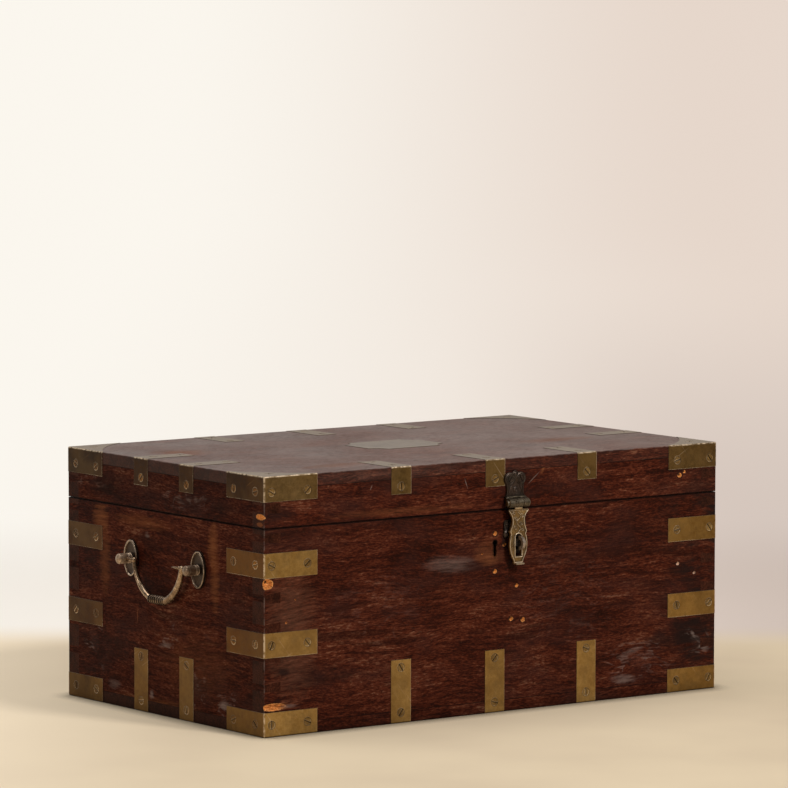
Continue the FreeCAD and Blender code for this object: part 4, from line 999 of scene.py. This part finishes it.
def slotOutline(grow):
    half = arm["slotHalf"] + grow
    low = arm["slotLow"] - grow
    centre = arm["slotHigh"] - arm["slotHalf"]
    turns = [math.pi * i / 16 for i in range(17)]
    arch = [(half * math.cos(turn), centre + half * math.sin(turn)) for turn in turns]
    return [(half, low)] + arch + [(-half, low)]


def onFace(outline, out):
    return [(hasp["x"] + x, hasp["front"] - out, z) for x, z in outline]


# A spiral on the arm's face, which closes in from its own size.
def scrollPoints(x, z, size, turns, hand, out):
    points = []
    steps = 30
    for i in range(steps + 1):
        share = i / steps
        angle = turns * 2 * math.pi * share
        radius = size * (1 - 0.78 * share)
        across = hasp["x"] + hand * (x + radius * math.cos(angle))
        points.append((across, hasp["front"] - out, z + radius * math.sin(angle)))
    return points


def haspKnuckle(x0, x1, dome=0.0):
    radius = hasp["knuckle"]
    sign = 1 if x1 > x0 else -1
    long = abs(x1 - x0)
    profile = [(radius + step, along) for step, along in hasp["knuckleEnd"]]
    profile += [(radius, long - 0.5), (radius - 0.4, long - 0.1)]
    if dome:
        profile += [(radius * 0.72, long), (radius * 0.60, long + dome * 0.7),
                    (radius * 0.3, long + dome), (0, long + dome)]
    start = (hasp["x"] + x0, hasp["front"] - hasp["out"], hasp["level"])
    return turnedForm(profile, start, (sign, 0, 0))


def makeHaspArm():
    outline = armOutline()
    face, front, centre = arm["face"], hasp["front"], hasp["x"]
    back = front - arm["back"]
    pieces = [flatPlate([outline, slotOutline(0)], arm["back"], face, arm["bevel"], (centre, front))]
    pieces.append(wire(onFace(insetOutline(outline, arm["borderInset"]), face), arm["border"], True))
    pieces.append(wire(onFace(slotOutline(0.85), face + 0.05), arm["border"] * 1.15, True))

    vine = arm["vine"]
    stem = [(vine["sway"] * math.sin(i * vine["turn"]), vine["start"] + i * vine["step"])
            for i in range(vine["points"])]
    pieces.append(wire(onFace(stem, face), arm["scroll"] * 1.1))
    for curl in arm["curls"]:
        pieces.append(wire(scrollPoints(*curl, face), arm["scroll"]))
    vine = arm["sideVine"]
    for hand in (-1, 1):
        stem = [(hand * (vine["inset"] + vine["sway"] * math.sin(i * vine["turn"])),
                 vine["start"] + i * vine["step"]) for i in range(vine["points"])]
        pieces.append(wire(onFace(stem, face - 0.05), arm["scroll"] * 0.8))

    tip = arm["top"] - arm["long"]
    half = arm["half"] * 0.42
    lipFront = front - arm["lipOut"]
    lip = [(back, tip), (lipFront, tip), (lipFront - 0.1, tip + 1.5), (lipFront + 0.9, tip + 1.7),
           (front - face - 1.2, tip + 1.5), (front - face, tip + 3.0), (back, tip + 3.0)]
    pieces.append(crossBar(lip, centre - half, centre + half, 0.3))
    middle = hasp["middleHalf"]
    pieces.append(haspKnuckle(-middle, middle))
    low, high = arm["top"] - 3, hasp["level"] - 3.2
    neck = [(back, low), (front - face, low), (front - face - 0.6, high), (front - hasp["out"] + 0.6, high)]
    pieces.append(crossBar(neck, centre - middle, centre + middle, 0.3))
    makePiece("pierced_hasp_arm", pieces, armBrass, "hasp", ["hasp_arm"],
              [(2, 211, 222, barrelBrass), (2, 150, 154.3, lipBrass)])


# Hasp's plate on the lid: two ringed lobes, a crest, a ledge and two knuckles.

plate = {
    "lobeX": 6.9,
    "lobeZ": 240.6,
    "lobe": 6.8,
    "crestZ": 244.6,
    "crest": 4.4,
    "waist": 11.2,
    "foot": 12.4,
    "footZ": 221.2,
    "back": 0.4,
    "face": 1.8,
    "boss": 2.9,
    "screwGap": 3.5,
    "waistZ": 230.0,
    "lobeTurn": (228, 74),      # degrees at the start and end of a lobe's arc
    "crestTurn": (150, 30),
    "stem": [(7.6, 224.5), (8.6, 228.0), (7.2, 231.5), (5.2, 233.4)],
    # Two small turned bosses, as (radius, distance out).
    "bossZ": 229.6,
    "bossForm": [(3.0, 1.2), (3.0, 2.1), (2.4, 2.7), (1.9, 2.75), (1.5, 2.4), (0.8, 2.6), (0, 2.7)],
    "crownZ": 245.6,
    "crownForm": [(2.3, 1.2), (2.3, 1.9), (1.7, 2.5), (0.8, 2.75), (0, 2.8)],
}


def arcAbout(x, z, radius, ends, steps):
    start, end = ends
    turns = [math.radians(start - (start - end) * i / steps) for i in range(steps + 1)]
    return [(x + radius * math.cos(turn), z + radius * math.sin(turn)) for turn in turns]


def plateOutline():
    foot, low, waist = plate["foot"], plate["footZ"], plate["waist"]
    left = [(-foot, low), (-foot + 0.2, low + 1.4), (-waist, low + 3.4), (-waist + 0.5, plate["waistZ"])]
    left += arcAbout(-plate["lobeX"], plate["lobeZ"], plate["lobe"], plate["lobeTurn"], 12)
    crest = arcAbout(0, plate["crestZ"], plate["crest"], plate["crestTurn"], 8)
    return left + crest + [(-x, z) for x, z in reversed(left)]


def makeHaspPlate():
    outline = plateOutline()
    front, centre, level = hasp["front"], hasp["x"], hasp["level"]
    face, foot, low = plate["face"], plate["foot"], plate["footZ"]
    gap, boss = plate["screwGap"], plate["boss"]
    back = front - plate["back"]
    pieces = [flatPlate([outline], plate["back"], face, 0.3, (centre, front))]
    pieces.append(wire(onFace(insetOutline(outline, 0.8), face), 0.5, True))
    ring = [(gap, 0.8), (gap, boss - 0.3), (gap + 0.3, boss), (gap + 1.0, boss), (gap + 1.6, boss - 0.6),
            (gap + 1.9, boss - 0.5), (gap + 2.4, boss - 0.7), (gap + 2.9, face - 0.2), (gap + 2.9, 0.8),
            (gap, 0.8)]
    web = [(back, level + 1.5), (front - 4.6, level + 1.5), (front - 4.2, low + 0.4), (back, low + 1.8)]
    for hand in (-1, 1):
        lobeAt = (centre + hand * plate["lobeX"], front, plate["lobeZ"])
        pieces.append(turnedForm(ring, lobeAt, (0, -1, 0), 36))
        x0, x1 = hand * (hasp["middleHalf"] + 0.3), hand * hasp["barrelHalf"]
        pieces.append(haspKnuckle(x0, x1, hasp["dome"]))
        pieces.append(crossBar(web, centre + min(x0, x1), centre + max(x0, x1), 0.25))
        stem = [(hand * x, z) for x, z in plate["stem"]]
        pieces.append(wire(onFace(stem, face), 0.55))
    ledge = [(back, low - 0.2), (front - 3.9, low - 0.2), (front - 4.0, low + 1.1),
             (front - 2.4, low + 2.0), (back, low + 2.4)]
    pieces.append(crossBar(ledge, centre - foot + 0.4, centre + foot - 0.4, 0.3))
    pieces.append(turnedForm(plate["bossForm"], (centre, front, plate["bossZ"]), (0, -1, 0), 28))
    pieces.append(turnedForm(plate["crownForm"], (centre, front, plate["crownZ"]), (0, -1, 0), 28))
    makePiece("lobed_hasp_plate", pieces, darkBrass, "lid", ["hasp_lid_plate"],
              [(2, 210, 223, barrelBrass)])


# A copy of a CAD node with its rounded surfaces shaded smooth.
def smoothCopy(name, material, body):
    form = bmesh.new()
    form.from_mesh(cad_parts[name].data)
    bmesh.ops.remove_doubles(form, verts=form.verts, dist=0.00001)
    mesh = meshOf(form, name + "_smooth")
    mesh.polygons.foreach_set("use_smooth", [True] * len(mesh.polygons))
    mesh.set_sharp_from_angle(angle=math.radians(35))
    mesh.materials.append(material)
    piece = bpy.data.objects.new(name + "_smooth", mesh)
    piece.matrix_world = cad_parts[name].matrix_world.copy()
    bpy.context.scene.collection.objects.link(piece)
    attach(piece, body)
    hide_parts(name)


makeHaspArm()
makeHaspPlate()
smoothCopy("hasp_staple", stapleBrass, "chest")
print("hasp made")


# Handles: a dished oval rose with a turned post on each side, and a bail with a reeded grip.
handle = {
    "end": 292.0,
    "level": 157.5,
    "middle": -3.5,
    "spacing": 122.0,
    "pivotOut": 9.4,
    "roseTall": 38.0,
    "roseWide": 24.0,
    "roseRise": 3.2,
    "dishRise": 2.3,
    "half": 43.0,
    "drop": 36.5,
    "bulge": 0.15,
    "gripLong": 27.0,
    "gripRadius": 3.55,
    "gripSwell": 0.35,
    "reeds": 6,
    "reedTall": 0.85,
    "grooveHalf": 0.24,     # share of a reed's pitch
    "collarLong": 2.0,
    "finialLong": 15.6,
    # Radii of the bail's arms at the post and at the grip. The front one is thicker.
    "arms": {-1: (3.0, 4.3), 1: (2.5, 3.2)},
    # Turned forms, as (radius, distance along): the post out from the board, the elbow with its peg in the
    # post, the finial, and the collar at each end of the grip.
    "post": [(5.6, 0.6), (5.6, 3.2), (5.3, 3.8), (4.5, 4.2), (4.4, 4.7), (5.2, 5.1), (5.55, 5.6),
             (5.55, 6.1), (5.2, 6.6), (4.7, 6.9), (4.7, 7.3), (5.2, 7.6), (5.35, 9.0), (5.45, 11.0),
             (5.35, 13.4), (5.2, 14.6), (4.8, 14.9), (4.8, 15.3), (5.4, 15.6), (5.5, 16.2), (5.1, 17.2),
             (4.2, 18.1), (3.0, 18.7), (1.9, 18.95), (1.6, 19.1), (0.8, 19.2), (0, 19.2)],
    "elbow": [(0, -3.1), (1.9, -2.7), (2.8, -1.7), (3.15, 0), (2.8, 1.7), (2.2, 2.6), (2.6, 3.0),
              (2.6, 4.0), (2.1, 4.4), (2.0, 4.5), (2.0, 18.4), (2.6, 18.6), (2.9, 19.2), (2.6, 20.6),
              (1.4, 21.6), (0, 21.8)],
    "finial": [(2.6, 2.2), (1.7, 3.0), (1.5, 3.4), (2.1, 4.2), (2.2, 5.0), (1.8, 5.8), (1.25, 6.4),
               (1.45, 8.0), (1.35, 10.5), (1.0, 14.0), (0.6, 17.5)],
    "collar": [(3.4, -0.2), (4.5, 0.1), (4.7, 0.9), (4.3, 1.7), (3.9, 1.9)],
    # Oval rose, as (inset from its outer edge, height).
    "rose": [(0.0, 0.1), (0.0, 2.5), (0.25, 2.95), (0.7, 3.2), (1.2, 3.2), (1.6, 2.9), (1.9, 2.2),
             (2.4, 1.85), (5.0, 1.75), (8.0, 1.75)],
}


def roseForm(centre, out, sides=56):
    form = bmesh.new()
    a, b = handle["roseWide"] / 2, handle["roseTall"] / 2
    rings = []
    for inset, rise in handle["rose"]:
        ring = []
        for i in range(sides):
            turn = 2 * math.pi * i / sides
            ny, nz = math.cos(turn) / a, math.sin(turn) / b
            size = math.hypot(ny, nz)
            y = centre[1] + a * math.cos(turn) - inset * ny / size
            z = centre[2] + b * math.sin(turn) - inset * nz / size
            ring.append(form.verts.new((centre[0] + out * rise, y, z)))
        rings.append(ring)
    for lower, upper in zip(rings, rings[1:]):
        for i in range(sides):
            j = (i + 1) % sides
            form.faces.new((lower[i], lower[j], upper[j], upper[i]))
    form.faces.new(rings[0])
    form.faces.new(rings[-1])
    bmesh.ops.recalc_face_normals(form, faces=form.faces)
    return meshOf(form, "rose")


def makePosts():
    for side, out in (("left", -1), ("right", 1)):
        for place, along in (("front", -1), ("back", 1)):
            foot = (out * handle["end"], handle["middle"] + along * handle["spacing"] / 2, handle["level"])
            meshes = [roseForm(foot, out), turnedForm(handle["post"], foot, (out, 0, 0))]
            # The dish takes the painted-shade brass, the rim the painted-highlight brass.
            dish = sorted((foot[0] - out, foot[0] + out * handle["dishRise"]))
            rim = sorted((foot[0] + out * handle["dishRise"], foot[0] + out * (handle["roseRise"] + 0.1)))
            makePiece(side + "_" + place + "_turned_post", meshes, postBrass, "chest",
                      [side + "_handle_" + place + "_post"], [(0, *dish, shadedRoseBrass), (0, *rim, litRimBrass)])


# Points from the elbow to the grip's end, on a shallow bow.
def bailArc(along, steps=14):
    elbow = (handle["half"], 0.0)
    foot = (handle["gripLong"] / 2 - 0.5, -handle["drop"])
    dy, dz = foot[0] - elbow[0], foot[1] - elbow[1]
    bulge = handle["bulge"]
    middle = (elbow[0] + dy / 2 - dz * bulge, elbow[1] + dz / 2 + dy * bulge)
    return [(along * y, z) for y, z in [elbow] + arcThrough(elbow, middle, foot, steps)]


# The grip's reeds, swelling a little to the middle, between two collars.
def gripProfile(pitch):
    long, reeds = handle["gripLong"], handle["reeds"]
    profile = list(handle["collar"])
    for reed in range(reeds):
        low = handle["collarLong"] + reed * pitch
        radius = handle["gripRadius"] + handle["gripSwell"] * math.sin(math.pi * (reed + 0.5) / reeds)
        crest = radius + handle["reedTall"]
        profile += [(radius, low + 0.1), (crest, low + pitch * 0.3), (crest, low + pitch * 0.7),
                    (radius, low + pitch * 0.9)]
    return profile + [(radius, long - along) for radius, along in reversed(handle["collar"])]


def makeBails():
    y0, z0, half = handle["middle"], handle["level"], handle["half"]
    long, tip = handle["gripLong"], handle["finialLong"]
    pitch = (long - 2 * handle["collarLong"]) / handle["reeds"]
    gripStart = y0 - long / 2
    finial = handle["finial"] + [(0.3, tip + 3.0), (0, tip + 3.1)]
    bands = [(1, gripStart, gripStart + long, gripBrass)]
    # Each groove between the reeds gets the near-black brass: painted shade.
    for groove in range(handle["reeds"] + 1):
        middle = gripStart + handle["collarLong"] + groove * pitch
        reach = pitch * handle["grooveHalf"]
        bands.append((1, middle - reach, middle + reach, shadedGrooveBrass))
    for side, out in (("left", -1), ("right", 1)):
        x = out * (handle["end"] + handle["pivotOut"])
        meshes = []
        for along in (-1, 1):
            points = [(x, y0 + y, z0 + z) for y, z in bailArc(along)]
            thin, thick = handle["arms"][along]
            last = len(points) - 1
            radii = [thin + (thick - thin) * min(1.0, 1.25 * i / last) for i in range(last + 1)]
            radii[-1] = radii[-2] * 0.93
            meshes.append(wire(points, radii, sides=3))
            meshes.append(turnedForm(handle["elbow"], (x, y0 + along * half, z0), (0, along, 0), 28))
        meshes.append(turnedForm(finial, (x, y0 - half, z0), (0, 1, 0), 24))
        meshes.append(turnedForm(gripProfile(pitch), (x, gripStart, z0 - handle["drop"]), (0, 1, 0), 36))
        makePiece(side + "_bail_reeded", meshes, bailBrass, side + "_bail",
                  [side + "_handle_bail"], bands)


makePosts()
makeBails()
print("handles made")


# Front board, chipped at the near corner and with the holes of an older lock plate.

# An old screw hole, as (share of its radius, distance out).
oldHole = [(0, -1.3), (0.45, -1.1), (0.9, -0.5), (1.0, 0.0), (1.0, 1.0), (0, 1.0)]


def roughBlob(at, half, seed):
    form = bmesh.new()
    bmesh.ops.create_icosphere(form, subdivisions=3, radius=1.0)
    for vert in form.verts:
        v = vert.co
        broad = 0.16 * math.sin(5.1 * v.x + seed) * math.cos(4.3 * v.z - seed)
        wave = broad + 0.12 * math.sin(9.7 * v.z + 2.2 * seed)
        vert.co = Vector((v.x * half[0], v.y * half[1], v.z * half[2])) * (1 + wave) + Vector(at)
    return meshOf(form, "blob")


def makeFrontBoard():
    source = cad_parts["front_board"]
    board = bpy.data.objects.new("front_board_worn", source.data.copy())
    bpy.context.scene.collection.objects.link(board)
    cutters = [roughBlob(at, half, index) for index, (at, half) in enumerate(chips)]
    for x, z, radius in bodyHoles:
        cone = [(radius * share, out) for share, out in oldHole]
        cutters.append(turnedForm(cone, (x, faceAt["front"], z), (0, -1, 0), 16))
    form = bmesh.new()
    for mesh in cutters:
        form.from_mesh(mesh)
    cutMesh = meshOf(form, "boardCutters")
    cutMesh.transform(Matrix.Scale(mm, 4))
    cutter = bpy.data.objects.new("boardCutters", cutMesh)
    bpy.context.scene.collection.objects.link(cutter)
    cut = board.modifiers.new("chips", "BOOLEAN")
    cut.object = cutter
    cut.operation = "DIFFERENCE"
    cut.solver = "EXACT"
    mesh = evaluated(board)
    board.modifiers.clear()
    board.data = mesh
    bpy.data.objects.remove(cutter)
    mesh.materials.clear()
    mesh.materials.append(frontWood)
    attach(board, "chest")
    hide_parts("front_board")


makeFrontBoard()
print("front board made")


# Floor, backdrop and light.

stage = {
    "floorTone": colour(0.72, 0.595, 0.42),
    "floorMottle": colour(0.64, 0.52, 0.37),
    "wallLeft": colour(0.965, 0.925, 0.855),
    "wallRight": colour(0.79, 0.675, 0.595),
    "wallLow": colour(0.66, 0.56, 0.50),
    "floorPaintedLightLeft": colour(0.94, 0.80, 0.60),
    # Where one tone turns into the next, in metres to the right of the chest as the camera sees it.
    "floorLeftAt": (-0.15, -0.60),
    "wallTurns": (-0.65, 0.85),
    "wallLowAt": (0.05, 0.50),
    # The same, in metres behind the chest's middle.
    "wallLowBehind": (6.0, 1.0),
    "floorEnds": (0.33, 0.52),
    "floorGlow": 0.35,      # share of its own tone that the floor shows in shadow
    "contactShadowReach": 24,     # millimetres round the chest in which a contact shadow is painted on the floor
    "contactShadowTone": colour(0.060, 0.045, 0.030),
    "contactShadowShare": 0.85,
    "glowStart": 0.75,      # from here back the backdrop shows its own tone, whatever light reaches it
    "glowEnd": 1.60,
    "wallDistance": 7.5,    # behind the cameras of all the other views
    "bend": 0.8,
    "halfSpan": 15.0,
    "wallHeight": 15.0,
}

camera = {
    "azimuth": -36.517,
    "elevation": 5.422,
    "roll": 0.124,
    "distance": 5723.636 * mm,
    "aside": 0.74 * mm,
    "lift": 313.775 * mm,
    "lens": 5423.084 / 788 * 36,
}


def buildCamera():
    turn = math.radians(camera["azimuth"])
    tilt = math.radians(camera["elevation"])
    roll = math.radians(camera["roll"])
    back = Vector((math.sin(turn) * math.cos(tilt), -math.cos(turn) * math.cos(tilt), math.sin(tilt)))
    level = Vector((math.cos(turn), math.sin(turn), 0))
    above = back.cross(level)
    right = level * math.cos(roll) + above * math.sin(roll)
    above = above * math.cos(roll) - level * math.sin(roll)
    eye = back * camera["distance"] + right * camera["aside"] + above * camera["lift"]
    data = bpy.data.cameras.new("photoCamera")
    data.sensor_fit = "HORIZONTAL"
    data.sensor_width = 36
    data.lens = camera["lens"]
    data.clip_start = 0.1
    data.clip_end = 60
    eyeObject = bpy.data.objects.new("photoCamera", data)
    eyeObject.matrix_world = Matrix((
        (right.x, above.x, back.x, eye.x),
        (right.y, above.y, back.y, eye.y),
        (right.z, above.z, back.z, eye.z),
        (0, 0, 0, 1)))
    bpy.context.scene.collection.objects.link(eyeObject)
    bpy.context.scene.camera = eyeObject


def buildStage():
    steps = 24
    profile = [(-stage["halfSpan"], 0.0), (0.0, 0.0)]
    for i in range(steps + 1):
        turn = math.pi / 2 * i / steps
        profile.append((stage["wallDistance"] + stage["bend"] * math.sin(turn),
                        stage["bend"] * (1 - math.cos(turn))))
    profile.append((stage["wallDistance"] + stage["bend"], stage["wallHeight"]))
    # The sweep stands square to the camera's own line, so that it lies level in the frame.
    yaw = math.radians(camera["azimuth"])
    verts = [(side * stage["halfSpan"], distance, rise) for side in (-1, 1) for distance, rise in profile]
    count = len(profile)
    faces = [(i, i + count, i + count + 1, i + 1) for i in range(count - 1)]
    mesh = bpy.data.meshes.new("backdrop")
    mesh.from_pydata(verts, [], faces)
    mesh.polygons.foreach_set("use_smooth", [True] * len(faces))
    sweep = bpy.data.objects.new("backdrop", mesh)
    sweep.rotation_euler = (0, 0, yaw)
    bpy.context.scene.collection.objects.link(sweep)

    material, tree, shader = startMaterial("backdropPaper")
    point = put(tree, "TexCoord").outputs["Object"]
    x, y, _ = partsOf(tree, point)
    grain = noise(tree, point, 3.0, 3)
    floor = mixColour(tree, spread(tree, grain, 0.35, 0.65), stage["floorTone"], stage["floorMottle"])

    def over(value, ends):
        return spread(tree, value, *ends, 0.0, 1.0, True)

    # The floor is painted lighter to the left of the chest, painted light that lifts the chest's cast
    # shadow there.
    floor = mixColour(tree, over(x, stage["floorLeftAt"]), floor, stage["floorPaintedLightLeft"])
    wall = mixColour(tree, over(x, stage["wallTurns"]), stage["wallLeft"], stage["wallRight"])
    low = times(tree, over(x, stage["wallLowAt"]), over(y, stage["wallLowBehind"]))
    wall = mixColour(tree, low, wall, stage["wallLow"])
    tone = mixColour(tree, over(y, stage["floorEnds"]), floor, wall)
    # Painted contact shadow on the floor round the chest's foot, from ambient occlusion.
    contactShadow = occlusionShade(tree, stage["contactShadowReach"], 0.50, 0.95)
    tone = mixColour(tree, times(tree, contactShadow, stage["contactShadowShare"]), tone, stage["contactShadowTone"])
    tree.links.new(tone, shader.inputs["Base Color"])
    glow = put(tree, "Emission", {"Color": tone, "Strength": 1.0})
    ray = put(tree, "LightPath")
    seen = maths(tree, "MAXIMUM", ray.outputs["Is Camera Ray"],
                 maths(tree, "MAXIMUM", ray.outputs["Is Glossy Ray"], ray.outputs["Is Transmission Ray"]))
    far = spread(tree, y, stage["glowStart"], stage["glowEnd"], stage["floorGlow"], 1.0, True)
    mix = put(tree, "MixShader", {0: times(tree, seen, far), 1: shader.outputs[0], 2: glow.outputs[0]})
    output = next(node for node in tree.nodes if node.bl_idname == "ShaderNodeOutputMaterial")
    tree.links.new(mix.outputs[0], output.inputs["Surface"])
    shader.inputs["Roughness"].default_value = 0.85
    shader.inputs["Specular IOR Level"].default_value = 0.1
    mesh.materials.append(material)


lamps = {
    "key": dict(place=(0.5, -2.6, 2.4), aim=(0, 0, 0.13), size=0.45, power=76,
                tone=(1.0, 0.97, 0.94)),
    "fill": dict(place=(-2.9, 0.1, 1.4), aim=(0, 0, 0.13), size=0.7, power=11,
                 tone=(1.0, 0.98, 0.96)),
    "wallWash": dict(place=(-0.4, 0.8, 3.0), aim=(0.6, 1.2, 0.3), size=2.0, power=48,
                     tone=(1.0, 0.98, 0.97)),
}
room = {"tone": colour(1.0, 0.97, 0.93), "strength": 0.20}


def buildLight():
    for name, lamp in lamps.items():
        data = bpy.data.lights.new(name, "AREA")
        data.shape = "SQUARE"
        data.size = lamp["size"]
        data.energy = lamp["power"]
        data.color = lamp["tone"]
        source = bpy.data.objects.new(name, data)
        place = Vector(lamp["place"])
        source.location = place
        source.rotation_euler = (Vector(lamp["aim"]) - place).to_track_quat("-Z", "Y").to_euler()
        bpy.context.scene.collection.objects.link(source)
    world = bpy.data.worlds.new("room")
    bpy.context.scene.world = world
    world.use_nodes = True
    inputs = world.node_tree.nodes["Background"].inputs
    inputs["Color"].default_value = room["tone"]
    inputs["Strength"].default_value = room["strength"]


buildCamera()
buildStage()
buildLight()
bpy.context.scene.view_settings.view_transform = "Standard"
print("camera, backdrop and light ready")
